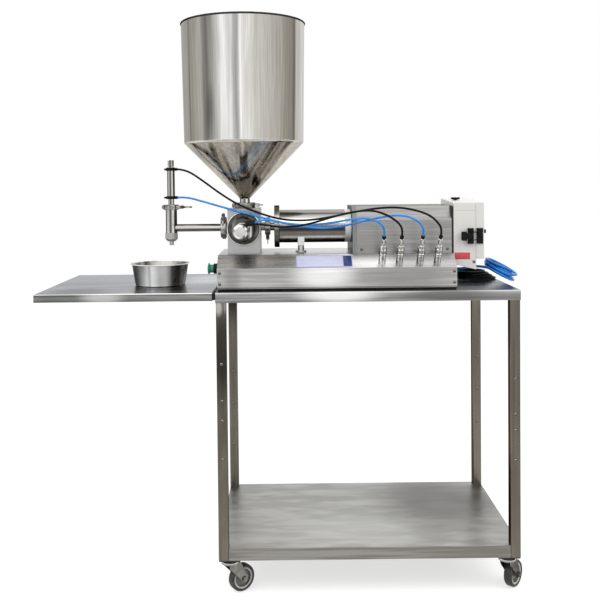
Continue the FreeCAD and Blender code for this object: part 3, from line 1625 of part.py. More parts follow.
def build():
    """Every node by name, the cords apart."""
    nodes = {
        "table_top": make_table_top(),
        "legs": make_legs(),
        "dome_screws": make_dome_screws(),
        "lower_shelf": make_lower_shelf(),
        "side_shelf": make_side_shelf(),
        "shelf_arms": make_shelf_arms(),
        "caster_plates": make_caster_plates(),
        "base_cover": make_base_cover(),
        "base_end_plates": make_end_plates(),
        "base_feet": make_base_feet(),
        "push_button": make_push_button(),
        "button_collar": make_button_collar(),
        "drive_cover": make_drive_cover(),
        "drive_front_plate": make_front_plate(),
        "air_cylinder": make_air_cylinder(),
        "piston_rod": make_piston_rod(),
        "pistons": make_pistons(),
        "product_cylinder": make_product_cylinder(),
        "cylinder_flange": make_cylinder_flange(),
        "rear_collar": make_rear_collar(),
        "support_post": make_support_post(),
        "valve_block": make_valve_block(),
        "valve_cover": make_valve_cover(),
        "valve_actuator": make_valve_actuator(),
        "valve_spool": make_valve_spool(),
        "pipe_clamps": make_clamps(),
        "push_in_fittings": make_fittings(),
        "nozzle_body": make_nozzle_body(),
        "nozzle_cap_nut": make_cap_nut(),
        "nozzle_cylinder": make_nozzle_cylinder(),
        "nozzle_plunger": make_nozzle_plunger(),
        "hopper": make_hopper(),
        "couplers": make_couplers(),
        "control_box": make_control_box(),
        "control_box_door": make_door(),
        "latch_base": make_latch_base(),
        "latch_lever": make_latch_lever(),
        "latch_bail": make_latch_bail(),
        "latch_catch": make_latch_catch(),
        "box_knob": make_box_knob(),
        "drip_bowl": make_bowl(),
    }
    for number, x in enumerate(coupler_places, 1):
        nodes["coupler_sleeve_%d" % number] = make_sleeve(x)
    nodes.update(make_casters())
    return nodes


def main():
    os.makedirs("parts", exist_ok=True)
    nodes = build()
    cords = make_cords()
    whole = Part.makeCompound(list(nodes.values())).optimalBoundingBox(False)
    origin = V((whole.XMin + whole.XMax) / 2, (whole.YMin + whole.YMax) / 2, whole.ZMin)
    print("origin in the working frame", [round(v, 4) for v in origin])
    nodes.update(cords)
    for name, shape in nodes.items():
        shape.translate(-origin)
        if not shape.isValid():
            print("not valid:", name)
        shape.exportStep("parts/%s.step" % name)
    print("nodes", len(nodes))


main()
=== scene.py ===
import math

import bmesh
import bpy
from bpy.props import FloatProperty, FloatVectorProperty, IntProperty, PointerProperty
from mathutils import Matrix, Vector


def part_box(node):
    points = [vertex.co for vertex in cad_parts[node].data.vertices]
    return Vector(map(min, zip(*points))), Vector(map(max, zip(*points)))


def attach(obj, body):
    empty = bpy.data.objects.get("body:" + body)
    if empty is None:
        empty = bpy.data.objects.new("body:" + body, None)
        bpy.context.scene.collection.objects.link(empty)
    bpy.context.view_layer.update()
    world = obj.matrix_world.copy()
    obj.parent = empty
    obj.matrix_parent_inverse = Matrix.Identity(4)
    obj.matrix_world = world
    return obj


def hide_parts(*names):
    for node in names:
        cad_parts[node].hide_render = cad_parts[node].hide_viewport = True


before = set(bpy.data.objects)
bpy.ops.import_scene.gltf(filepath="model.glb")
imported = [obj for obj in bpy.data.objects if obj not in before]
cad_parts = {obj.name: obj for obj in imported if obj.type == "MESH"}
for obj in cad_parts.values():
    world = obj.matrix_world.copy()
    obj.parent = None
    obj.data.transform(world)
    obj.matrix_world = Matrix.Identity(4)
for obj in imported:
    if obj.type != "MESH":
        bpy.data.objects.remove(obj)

bl_info = {
    "name": "Dosing Machine Dressing",
    "version": (1, 0, 0),
    "blender": (4, 5, 0),
    "location": "3D View > Sidebar > Dosing Machine",
    "description": "Dresses a piston filler on its wheeled table",
    "category": "Object",
}

table_low, table_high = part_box("table_top")
CORNER = Vector((table_low.x, table_low.y, table_high.z - 0.850))
MM = 0.001
# axes of the machine in millimetres, off the table's front left corner and the floor
NOZZLE_X = -143.0
PUMP_X = 75.0
VALVE_Z = 1020.0
CYLINDER_Z = 1022.0
BOWL_X = -181.5
COUPLER_X = (466.0, 515.0, 573.0, 622.0)
COUPLER_FOOT = (0.0, 63.9, 925.7)
SLOPE_UP = Vector((0.0, -0.6139, 0.7894))


def linear(code):
    """An sRGB hex colour as linear red, green and blue."""
    parts = [int(code[i:i + 2], 16) / 255 for i in (1, 3, 5)]
    return tuple(p / 12.92 if p <= 0.04045 else ((p + 0.055) / 1.055) ** 2.4 for p in parts)


def spot(x, y, z):
    """A point in the row frame, from millimetres off the table's front left corner and the floor."""
    return CORNER + Vector((x, y, z)) * MM


def colour_setting(name, description, code):
    """A colour that a user would change."""
    return FloatVectorProperty(name=name, description=description, default=linear(code), subtype="COLOR",
                               size=3, min=0.0, max=1.0)


def size_setting(name, description, millimetres):
    """A size that a user would change, kept in metres."""
    return FloatProperty(name=name, description=description, default=millimetres * MM, min=0.0,
                         unit="LENGTH", subtype="DISTANCE")


class DOSING_PG_colours(bpy.types.PropertyGroup):
    sheet: colour_setting("Base steel", "Brushed sheet of the base", "#a5a4a3")
    skirt: colour_setting("Skirt steel", "Brushed skirts of the table and the side shelf", "#8d8d8c")
    table: colour_setting("Table steel", "Brushed face of the table", "#a3a5a8")
    shelf: colour_setting("Shelf steel", "Dull sheet of the lower shelf", "#989897")
    legs: colour_setting("Leg steel", "Square tube of the frame", "#7c776e")
    mirror: colour_setting("Mirror steel", "Polished steel of the hopper wall", "#c6c4c0")
    cone: colour_setting("Cone steel", "Polished steel of the hopper cone", "#b1aa9f")
    turned: colour_setting("Turned steel", "Turned and polished fittings", "#c9c8c5")
    cover: colour_setting("Cover steel", "Satin sheet of the drive cover", "#8f8e8d")
    block: colour_setting("Block steel", "Pale satin of the valve block", "#b4b4b5")
    enclosure: colour_setting("Control box", "Powder coat of the control box", "#cfceca")
    hose: colour_setting("Hose", "Coiled supply hose", "#0f78cf")
    air: colour_setting("Air tube", "Blue air tubes", "#1f86d8")
    button: colour_setting("Button", "Push button", "#068a6c")
    badge: colour_setting("Badge", "Dark field of the bare name plate", "#20306a")
    badge_edge: colour_setting("Badge edge", "Pale field and edge of the bare name plate", "#a9acd2")
    label: colour_setting("Label", "Bare plate on the control box", "#b8434c")


class DOSING_PG_sizes(bpy.types.PropertyGroup):
    tube: size_setting("Air tube", "Diameter of the air tubes", 6.0)
    hose: size_setting("Hose", "Diameter of the supply hose", 8.0)
    cable: size_setting("Cable", "Diameter of the black cable", 7.0)
    screw_head: size_setting("Screw head", "Diameter of a dome screw's head", 8.0)
    screw_height: size_setting("Screw height", "Height of a dome screw's head", 2.6)
    screw_socket: size_setting("Screw socket", "Width of the hexagon socket", 4.0)
    knurl_depth: size_setting("Knurl depth", "Height of the ridges on a coupler sleeve", 0.5)
    hopper_wall: size_setting("Hopper wall", "Sheet thickness of the hopper", 2.0)
    hose_turns: FloatProperty(name="Hose turns", description="Turns of the coiled supply hose",
                              default=4.45, min=1.0, max=8.0)
    knurl_count: IntProperty(name="Knurl count", description="Ridges round a coupler sleeve", default=28,
                             min=6, max=60)


class DOSING_PG_studio(bpy.types.PropertyGroup):
    ambient: FloatProperty(name="Ambient", description="Strength of the even light", default=0.72, min=0.0)
    key: FloatProperty(name="Key light", description="Power of the large lamp above", default=55.0, min=0.0,
                       unit="POWER")
    glow: FloatProperty(name="Floor glow", description="Light added to the floor as the camera sees it",
                        default=0.6, min=0.0)
    room: FloatProperty(name="Room", description="Strength of the room that polished steel mirrors",
                        default=1.7, min=0.0)
    floor: colour_setting("Floor", "Pale studio floor", "#c9c9c8")


def colours():
    return bpy.context.scene.dosing_colours


def sizes():
    return bpy.context.scene.dosing_sizes


# materials

def node(tree, kind, inputs=None, **settings):
    """Adds one node with its settings, and a value or a link for each input that is named."""
    made = tree.nodes.new(kind)
    for name, value in settings.items():
        setattr(made, name, value)
    for name, value in (inputs or {}).items():
        if isinstance(value, bpy.types.NodeSocket):
            tree.links.new(value, made.inputs[name])
        else:
            made.inputs[name].default_value = value
    return made


def shaded(colour, share):
    """The colour made lighter or darker by a share, ready for a colour socket."""
    return tuple(min(1.0, c * (1 + share)) for c in colour) + (1.0,)


def grain_noise(tree, size, detail=4.0):
    """A noise whose features have that size in millimetres along X, Y and Z."""
    where = node(tree, "ShaderNodeTexCoord")
    scaled = node(tree, "ShaderNodeMapping", {"Vector": where.outputs["Object"],
                                              "Scale": tuple(1000 / s for s in size)})
    return node(tree, "ShaderNodeTexNoise", {"Vector": scaled.outputs[0], "Scale": 1.0, "Detail": detail,
                                             "Roughness": 0.55}).outputs["Fac"]


def blend_colours(tree, factor, first, second, kind="MIX"):
    """One colour turning into another along a factor."""
    mixed = node(tree, "ShaderNodeMix", {0: factor, 6: first, 7: second}, data_type="RGBA", blend_type=kind)
    return mixed.outputs[2]


def spread(tree, value, low, high, to_low=0.0, to_high=1.0, kind="LINEAR"):
    """A value taken from one range to another, and held at its ends."""
    return node(tree, "ShaderNodeMapRange", {"Value": value, "From Min": low, "From Max": high,
                                             "To Min": to_low, "To Max": to_high},
                interpolation_type=kind).outputs[0]


def colour_ramp(tree, factor, stops):
    """Colours along a factor, from (place, hex colour) stops."""
    made = node(tree, "ShaderNodeValToRGB", {0: factor})
    ends = made.color_ramp.elements
    for end, (place, code) in zip(ends, (stops[0], stops[-1])):
        end.position, end.color = place, linear(code) + (1.0,)
    for place, code in stops[1:-1]:
        ends.new(place).color = linear(code) + (1.0,)
    return made.outputs[0]


def patch(tree, centre, radii):
    """A soft spot on the piece for painted light and shade, 1 in its middle and 0 at its edge. Both in
    millimetres.
    """
    where = node(tree, "ShaderNodeTexCoord")
    middle = spot(*centre)
    shrink = [1000 / r for r in radii]
    placed = node(tree, "ShaderNodeMapping", {"Vector": where.outputs["Object"], "Scale": tuple(shrink),
                                              "Location": tuple(-m * s for m, s in zip(middle, shrink))})
    ball = node(tree, "ShaderNodeTexGradient", {0: placed.outputs[0]}, gradient_type="SPHERICAL")
    return spread(tree, ball.outputs["Fac"], 0.0, 0.75, kind="SMOOTHSTEP")


def finish(name, colour, roughness, grain, shade=0.05, swing=0.05, relief=0.0, blotches=(), patches=(),
           bands=None, **shader):
    """A surface whose colour, gloss and relief follow one grain. Sizes are in millimetres.

    Blotches are (size, share, tone), patches are (centre, radii, share, tone) for spots of painted light and
    shade, and bands are (axis, middle, radius, stops) for the painted light and dark lines along a round piece."""
    made = bpy.data.materials.new(name)
    made.use_nodes = True
    tree = made.node_tree
    tree.nodes.clear()
    fac = grain_noise(tree, grain)
    contrast = spread(tree, fac, 0.3, 0.7)
    if bands:
        axis, middle, radius, stops = bands
        where = node(tree, "ShaderNodeTexCoord")
        parts = node(tree, "ShaderNodeSeparateXYZ", {0: where.outputs["Object"]})
        start = CORNER["XYZ".index(axis)] + middle * MM
        across = spread(tree, parts.outputs[axis], start - radius * MM, start + radius * MM)
        worn = blend_colours(tree, contrast, (1 - shade,) * 3 + (1.0,), (1 + shade,) * 3 + (1.0,))
        tint = blend_colours(tree, 1.0, colour_ramp(tree, across, stops), worn, "MULTIPLY")
    else:
        tint = blend_colours(tree, contrast, shaded(colour, -shade), shaded(colour, shade))
    for size, share, tone in blotches:
        cloud = spread(tree, grain_noise(tree, size, 2.0), 0.44, 0.62, 0.0, share)
        tint = blend_colours(tree, cloud, tint, linear(tone) + (1.0,))
    for centre, radii, share, tone in patches:
        soft = node(tree, "ShaderNodeMath", {0: patch(tree, centre, radii), 1: share}, operation="MULTIPLY")
        tint = blend_colours(tree, soft.outputs[0], tint, linear(tone) + (1.0,))
    rough = spread(tree, fac, 0.3, 0.7, max(0.0, roughness - swing), roughness + swing)
    body = node(tree, "ShaderNodeBsdfPrincipled", {"Base Color": tint, "Roughness": rough, **shader})
    if relief:
        bump = node(tree, "ShaderNodeBump", {"Height": fac, "Strength": 0.6, "Distance": relief * MM})
        tree.links.new(bump.outputs[0], body.inputs["Normal"])
    node(tree, "ShaderNodeOutputMaterial", {"Surface": body.outputs[0]})
    return made


def metal(name, colour, roughness, grain, edge=None, **more):
    """Bare metal: the colour is its reflection, and the refraction index stays at its default. The tint
    towards its outline follows the colour, or is one tone of its own."""
    made = finish(name, colour, roughness, grain, Metallic=1.0, **more)
    body = next(n for n in made.node_tree.nodes if n.type == "BSDF_PRINCIPLED")
    outline = body.inputs["Specular Tint"]
    if edge:
        outline.default_value = linear(edge) + (1.0,)
    else:
        made.node_tree.links.new(body.inputs["Base Color"].links[0].from_socket, outline)
    return made


# painted reflections: the bright and dark lines that a polished pipe shows from one edge to the other
PIPE_UPRIGHT_REFLECTIONS = ((0.0, "#3f3e3c"), (0.10, "#6d6b68"), (0.16, "#dcdcda"), (0.27, "#f6f6f5"), (0.36, "#8f8d8a"),
                (0.44, "#55534f"), (0.56, "#64625e"), (0.66, "#c9c8c5"), (0.74, "#f4f4f3"), (0.84, "#8b8986"),
                (0.93, "#3a3937"), (1.0, "#2f2e2d"))
PIPE_LEVEL_REFLECTIONS = ((0.0, "#4b4a48"), (0.10, "#8d8b88"), (0.22, "#5a5855"), (0.30, "#48463f"), (0.40, "#a8a6a2"),
              (0.52, "#d3d2cf"), (0.64, "#c6c5c2"), (0.74, "#98968f"), (0.84, "#8e8c88"), (0.92, "#5a5856"),
              (1.0, "#2f2e2d"))
CYLINDER_LEVEL_REFLECTIONS = ((0.0, "#55534f"), (0.06, "#4b4947"), (0.09, "#6b6966"), (0.12, "#c9c7c3"), (0.16, "#f1efec"),
                  (0.19, "#ffffff"), (0.22, "#b5b2ae"), (0.25, "#8f8c87"), (0.32, "#8d8983"), (0.37, "#55524f"),
                  (0.44, "#3c3c3c"), (0.50, "#5f5d59"), (0.58, "#c9c8c6"), (0.63, "#fdfdfd"), (0.72, "#f3f3f4"),
                  (0.77, "#bab9b8"), (0.83, "#9f9e9c"), (0.87, "#7d7b79"), (0.89, "#454442"), (0.92, "#8b8a88"),
                  (0.96, "#a19f9d"), (1.0, "#afaeac"))
DISC_LEVEL_REFLECTIONS = ((0.0, "#4a4946"), (0.2, "#7b7974"), (0.42, "#6a6863"), (0.55, "#a9a7a2"), (0.68, "#dedddb"),
              (0.82, "#a5a39f"), (1.0, "#5b5a58"))
BOWL_UPRIGHT_REFLECTIONS = ((0.0, "#8a8988"), (0.05, "#aaa9a8"), (0.10, "#6f6e6d"), (0.17, "#858483"), (0.27, "#d0cfce"),
                (0.34, "#f6f6f5"), (0.38, "#c9c9c8"), (0.42, "#ffffff"), (0.48, "#efefee"), (0.55, "#c9c8c6"),
                (0.66, "#cfcecc"), (0.76, "#83827f"), (0.86, "#5f5e5c"), (0.92, "#b9b8b6"), (1.0, "#6a6968"))
BONNET_UPRIGHT_REFLECTIONS = ((0.0, "#55544f"), (0.10, "#8b8a87"), (0.22, "#5d5b56"), (0.55, "#4b4945"), (0.72, "#3b3935"),
                  (0.80, "#8b8a86"), (0.86, "#cfcecb"), (0.92, "#45433f"), (1.0, "#2b2a26"))
BARREL_UPRIGHT_REFLECTIONS = ((0.0, "#8f8e8b"), (0.08, "#d9d9d8"), (0.3, "#e9e9e8"), (0.6, "#d0d0cf"), (0.68, "#8b8a88"),
                  (0.75, "#4b4a48"), (0.82, "#c9c8c7"), (0.90, "#f4f4f4"), (1.0, "#4a4947"))
COUPLER_REFLECTIONS = ((0.0, "#4c4b48"), (0.12, "#8e8c87"), (0.22, "#ffffff"), (0.38, "#e5e3dd"), (0.5, "#a9a7a1"),
                 (0.62, "#dddbd6"), (0.74, "#ffffff"), (0.86, "#8b8984"), (1.0, "#3c3b38"))
# painted highlight along a skirt's bend and painted shade towards its lower edge
TABLE_FOLD_LIGHT_AND_SHADE = ((0.0, "#4b4a49"), (0.08, "#767675"), (0.5, "#848483"), (0.84, "#8f8f8e"),
              (0.92, "#d9d9d9"), (0.97, "#bdbdbd"), (1.0, "#5b5b5b"))
SIDE_FOLD_LIGHT_AND_SHADE = ((0.0, "#3f3e3d"), (0.12, "#6b6b6a"), (0.3, "#818180"), (0.66, "#8b8b8a"),
             (0.78, "#4f4f4e"), (0.86, "#8b8b8a"), (0.92, "#ffffff"), (1.0, "#f4f4f4"))
# painted shade that rounds the white collar at its top and bottom
COLLAR_LEVEL_SHADE = ((0.0, "#c9c8c6"), (0.14, "#eceae6"), (0.5, "#f6f6f4"), (0.8, "#fbfaf6"), (1.0, "#d9d7d2"))


def make_sheets():
    """Rolled and brushed sheets: long soft streaks along their length, with painted reflections and shade: the
    dark and bright areas that the room leaves on them."""
    tone = colours()
    # brushed stainless sheet: fine level streaks, drawn 3 mm apart because the real 0.2 mm can't show
    # its blotches are partly grain and partly painted reflection, and its patches are painted reflections: dark at
    # the left end and the upper left, a bright sweep in the middle, darker to the right
    metal("brushed_base_sheet", tone.sheet, 0.30, (260, 3, 3), shade=0.05, swing=0.06, relief=0.02,
          blotches=(((240, 60, 22), 0.4, "#8e8d8b"), ((300, 60, 9), 0.22, "#fafafa"),
                    ((90, 60, 3), 0.15, "#7e7d7b")),
          patches=(((45, 45, 885), (34, 60, 60), 0.45, "#6f6e6c"),
                   ((300, 50, 890), (120, 80, 60), 0.7, "#ffffff"),
                   ((540, 50, 890), (170, 60, 60), 0.75, "#8b8a88"),
                   ((75, 75, 935), (90, 30, 30), 0.45, "#6a6967")))
    # the same sheet on the slope, which faces the lamps: a paler copy painted for that light, with painted
    # highlights and darker streaks of painted reflection
    metal("brushed_base_slope", linear("#b9b9ba"), 0.26, (260, 4, 4), shade=0.08, swing=0.06, relief=0.02,
          blotches=(((330, 60, 12), 0.4, "#8e8d8b"),),
          patches=(((60, 70, 930), (150, 60, 60), 0.45, "#ffffff"),
                   ((430, 70, 930), (110, 60, 60), 0.6, "#ffffff")))
    # its flat top: an even pale grey without hard lines, a paler copy of the sheet painted for the light on the
    # top face
    metal("brushed_base_top", linear("#b5b5b5"), 0.30, (260, 9, 9), shade=0.05, swing=0.06, relief=0.02,
          blotches=(((200, 60, 20), 0.4, "#b9b9b8"),), edge="#e0e0e0")
    # folded skirt of the table: a painted highlight along the upper bend and painted shade at the lower edge, with
    # streaks and patches of painted reflection
    metal("brushed_skirt_sheet", tone.skirt, 0.27, (320, 4, 4), shade=0.06, swing=0.06, relief=0.02,
          bands=("Z", 836, 14.5, TABLE_FOLD_LIGHT_AND_SHADE),
          blotches=(((260, 90, 16), 0.4, "#84838a"), ((300, 60, 5), 0.2, "#f4f4f4")),
          patches=(((340, 0, 842), (150, 40, 30), 0.85, "#fbfbfb"),
                   ((640, 0, 838), (170, 40, 30), 0.7, "#5e5d5b")))
    # folded skirt of the side shelf: painted shade makes it darker, under a crisp painted highlight on the bend,
    # with a dark and a light patch of painted reflection
    metal("brushed_side_skirt", tone.skirt, 0.27, (320, 4, 4), shade=0.06, swing=0.06, relief=0.02,
          bands=("Z", 839, 11.4, SIDE_FOLD_LIGHT_AND_SHADE), blotches=(((200, 90, 9), 0.3, "#c9c9c8"),),
          patches=(((-430, 0, 838), (120, 40, 40), 0.5, "#5b5b5b"),
                   ((-310, 0, 838), (80, 40, 20), 0.5, "#e9e9e9")))
    # face of the table: seen at a flat angle it mirrors the dark end of the room; that reflection is painted on as
    # dark clouds, with a paler painted patch at its right end
    metal("brushed_table_face", tone.table, 0.20, (320, 9, 9), shade=0.12, swing=0.05, relief=0.02,
          blotches=(((220, 120, 90), 0.35, "#5f6061"),),
          patches=(((805, 60, 850), (70, 110, 60), 0.4, "#b5b5b5"),))
    # face of the side shelf: mirrors the light end, softly graded; its pale copy of the sheet, its clouds and its
    # patches are painted reflection
    metal("brushed_side_face", linear("#c4c6c9"), 0.23, (320, 9, 9), shade=0.06, swing=0.05, relief=0.02,
          blotches=(((260, 90, 90), 0.35, "#b0b0b0"),),
          patches=(((-190, 40, 850), (100, 60, 60), 0.35, "#d0d0d0"),
                   ((-390, 60, 850), (120, 110, 60), 0.4, "#8f8f90"),
                   ((-50, 330, 850), (110, 160, 60), 0.3, "#ffffff")))
    # lower shelf: the mill's dull finish, with wipe marks across it, and painted light and shade: paler in the
    # middle, darker at the back on the right
    metal("dull_shelf_sheet", tone.shelf, 0.36, (160, 26, 26), shade=0.05, swing=0.08, relief=0.015,
          edge="#c9c9c8", blotches=(((240, 120, 120), 0.35, "#8b8b89"), ((150, 40, 40), 0.3, "#c9c9c8")),
          patches=(((380, 120, 140), (260, 160, 60), 0.4, "#c0c0bf"),
                   ((660, 330, 140), (260, 300, 60), 0.8, "#6c6c6b")))
    # its bent edge: the same dull sheet, darker because it faces the floor's shade
    metal("dull_shelf_skirt", linear("#7d7b77"), 0.30, (260, 5, 5), shade=0.08, swing=0.06, relief=0.015,
          blotches=(((260, 60, 9), 0.5, "#a9a8a5"),))
    # square tube: ground along its length, which gives upright streaks
    # its patches are painted highlights at the top of the front left leg, and painted shade lower on it and on the
    # back left and front right legs
    metal("ground_square_tube", tone.legs, 0.24, (5, 5, 320), shade=0.14, swing=0.06, relief=0.02,
          blotches=(((60, 60, 200), 0.5, "#5d5850"),),
          patches=(((20, 0, 690), (60, 60, 190), 0.85, "#33312e"),
                   ((9, 0, 808), (15, 40, 30), 0.75, "#c4c3c0"),
                   ((27, 0, 812), (5, 40, 26), 0.6, "#a9a8a5"),
                   ((20, 480, 810), (90, 90, 170), 0.95, "#2f2d2a"),
                   ((820, 0, 790), (60, 60, 160), 0.45, "#5f5b54")))
    # satin sheet of the drive cover: a soft even grey with faint level lines of painted sheen, and two darker
    # patches of painted shadow round the couplers
    metal("satin_cover_sheet", tone.cover, 0.34, (220, 60, 3), shade=0.05, swing=0.05, relief=0.01,
          blotches=(((190, 60, 40), 0.35, "#8d8c8b"), ((260, 60, 7), 0.10, "#ffffff")),
          patches=(((420, 90, 965), (60, 60, 50), 0.55, "#8b8a89"),
                   ((560, 90, 1030), (90, 60, 40), 0.4, "#9b9a99")))
    # milled block: pale and silky, with the cutter's fine level lines
    metal("milled_block_steel", tone.block, 0.42, (90, 3, 3), shade=0.03, swing=0.06, relief=0.01,
          edge="#d9d9d9")


def make_turned_steel():
    """Polished and turned pieces. Each pipe carries its own painted light and dark lines of reflection."""
    tone = colours()
    # mirror polish of the hopper wall: strips of the room, with upright waves from the buffing wheel
    # its upright streaks of colour and its patches are painted reflections: a dark streak on the left, and light
    # and dark patches on the left and near the top
    metal("mirror_polished_steel", tone.mirror, 0.07, (9, 9, 420), shade=0.04, swing=0.03, relief=0.16,
          edge="#c9c9c9", blotches=(((14, 14, 260), 0.22, "#8f8d8b"), ((4, 4, 330), 0.2, "#fbfbfb")),
          patches=(((-12, -60, 1350), (24, 150, 125), 0.85, "#4b4b4c"),
                   ((-86, -20, 1600), (28, 120, 75), 0.5, "#6f6e6b"),
                   ((-96, -20, 1340), (16, 150, 180), 0.3, "#ffffff"),
                   ((10, -80, 1600), (36, 150, 110), 0.35, "#ffffff")))
    # the same polish on the cone: a warmer and darker copy, painted for the machine that it mirrors under it, with
    # streaks and a dark patch of painted reflection
    metal("mirror_polished_cone", tone.cone, 0.13, (16, 16, 90), shade=0.10, swing=0.05, relief=0.06,
          edge="#d9d9d9", blotches=(((22, 22, 120), 0.25, "#7d766b"), ((9, 9, 160), 0.3, "#e3ddd3")),
          patches=(((-60, 190, 1230), (70, 200, 60), 0.5, "#5b564e"),))
    # bead round the hopper's mouth: painted nearly black for its shade
    metal("rim_bead_painted_shade", linear("#3c3b3a"), 0.3, (8, 8, 8), shade=0.1)
    # polished pipes: hard bright and dark lines of painted reflection along their length
    metal("polished_nozzle_body", tone.turned, 0.16, (200, 200, 30), shade=0.03, swing=0.04,
          bands=("X", NOZZLE_X, 16.5, PIPE_UPRIGHT_REFLECTIONS))
    metal("polished_nozzle_cylinder", tone.turned, 0.16, (200, 200, 30), shade=0.03, swing=0.04,
          bands=("X", NOZZLE_X, 11.3, PIPE_UPRIGHT_REFLECTIONS))
    metal("polished_neck", tone.turned, 0.18, (200, 200, 30), shade=0.03, bands=("X", PUMP_X, 15, PIPE_UPRIGHT_REFLECTIONS))
    metal("polished_arm_pipe", tone.turned, 0.14, (40, 200, 200), shade=0.03, swing=0.04,
          bands=("Z", VALVE_Z, 11, PIPE_LEVEL_REFLECTIONS))
    # polished product cylinder: broad level lines of the room, painted as reflections
    metal("polished_cylinder", tone.turned, 0.18, (30, 300, 300), shade=0.04, swing=0.05,
          bands=("Z", CYLINDER_Z, 48.5, CYLINDER_LEVEL_REFLECTIONS))
    # turned flange: softer, as the tool's rings scatter the light, with painted reflections across it
    metal("turned_flange", tone.turned, 0.24, (2.5, 300, 300), shade=0.06, swing=0.05,
          bands=("Z", CYLINDER_Z, 62, DISC_LEVEL_REFLECTIONS))
    # turned steel inside the machine: bright with fine rings
    metal("turned_steel", tone.turned, 0.18, (2.5, 300, 300), shade=0.06, swing=0.05, relief=0.01)
    # polished face of the valve's cover: painted dark for the dark room that it mirrors
    metal("polished_cover_face", linear("#45433f"), 0.20, (60, 2.5, 30), shade=0.2, swing=0.08, relief=0.01,
          blotches=(((30, 30, 30), 0.4, "#77756f"),), edge="#45443f")
    # its neck and the small cylinder before it: upright bright and dark lines of painted reflection
    metal("polished_bonnet", tone.turned, 0.2, (40, 3, 40), shade=0.06,
          bands=("X", PUMP_X, 32, BONNET_UPRIGHT_REFLECTIONS))
    metal("polished_barrel", tone.turned, 0.2, (40, 3, 40), shade=0.05,
          bands=("X", PUMP_X, 20, BARREL_UPRIGHT_REFLECTIONS))
    # dome screws: a bright crown that darkens towards the rim
    metal("polished_screw_head", linear("#a9a8a5"), 0.2, (1.5, 1.5, 1.5), shade=0.1, edge="#2f2e2c")
    # turned rim: a clean bright line round the cover and the bowl, a painted highlight
    metal("turned_rim_highlight", linear("#e2e1df"), 0.22, (12, 3, 12), shade=0.05, edge="#d9d9d9")
    # faced end cap: pale and matt
    metal("satin_end_cap", linear("#cbcbca"), 0.36, (3, 3, 3), shade=0.06, swing=0.05, edge="#d9d9d9")
    # cast and tumbled clamps: uneven, with painted glints in bright spots, and dark spots
    metal("cast_clamp_steel", linear("#8e8c88"), 0.24, (6, 6, 6), shade=0.2, swing=0.08, relief=0.05,
          blotches=(((9, 9, 9), 0.6, "#e9e9e7"), ((14, 14, 14), 0.5, "#3f3e3b")), edge="#4f4e4c")
    # bead-blasted nut: fine matt grey
    metal("blasted_nut_steel", linear("#b9b8b7"), 0.45, (1.4, 1.4, 1.4), shade=0.10, swing=0.05,
          relief=0.05)
    # satin post: a pale matt bar with a grain along it
    metal("satin_post_steel", linear("#dededd"), 0.42, (4, 4, 40), shade=0.05, swing=0.05)
    # zinc-plated caster: a dark plate in the shelf's shade, a dull fork and a bright cap
    metal("shaded_zinc_plate", linear("#3d3c3b"), 0.3, (9, 9, 9), shade=0.2, swing=0.08, relief=0.02)
    metal("dull_zinc_fork", linear("#85837f"), 0.32, (14, 14, 14), shade=0.10, swing=0.08, relief=0.02,
          blotches=(((20, 20, 20), 0.4, "#5d5b57"),))
    metal("bright_zinc_cap", linear("#d5d6d8"), 0.16, (9, 9, 5), shade=0.10, swing=0.06, relief=0.02,
          blotches=(((9, 9, 4), 0.6, "#6a6b6d"),), edge="#9a9a9b")
    # nickel-plated couplers: glittering lines of painted reflection, one set for each coupler's own axis
    for number, place in enumerate(COUPLER_X, 1):
        metal("nickel_coupler_%d" % number, linear("#a8a59d"), 0.18, (5, 5, 5), shade=0.08, swing=0.06,
              bands=("X", place, 10.5, COUPLER_REFLECTIONS), blotches=(((6, 6, 4), 0.22, "#57544e"),))
    # plate before the drive: dull, with an upright grain, and painted darker than the cover for the dark that it
    # mirrors
    metal("drive_plate_steel", linear("#7d7e7f"), 0.30, (4, 4, 60), shade=0.08, swing=0.06, relief=0.01)
    # anodised aluminium of the air cylinder: an even satin grey
    metal("clear_anodised_aluminium", linear("#c9cacc"), 0.32, (120, 3, 3), shade=0.05, swing=0.05)
    # pressed bowl: upright lines of painted reflection outside, and a duller inside painted a little darker, with
    # dark upright blotches
    metal("pressed_bowl_steel", linear("#c4c2be"), 0.20, (120, 120, 5), shade=0.05, swing=0.05, relief=0.01,
          bands=("X", BOWL_X, 84, BOWL_UPRIGHT_REFLECTIONS), edge="#a9a9a9")
    metal("bowl_inside_steel", linear("#b7b6b4"), 0.22, (30, 30, 40), shade=0.12, swing=0.05,
          blotches=(((26, 60, 40), 0.7, "#6f6e6d"),), edge="#c9c9c9")


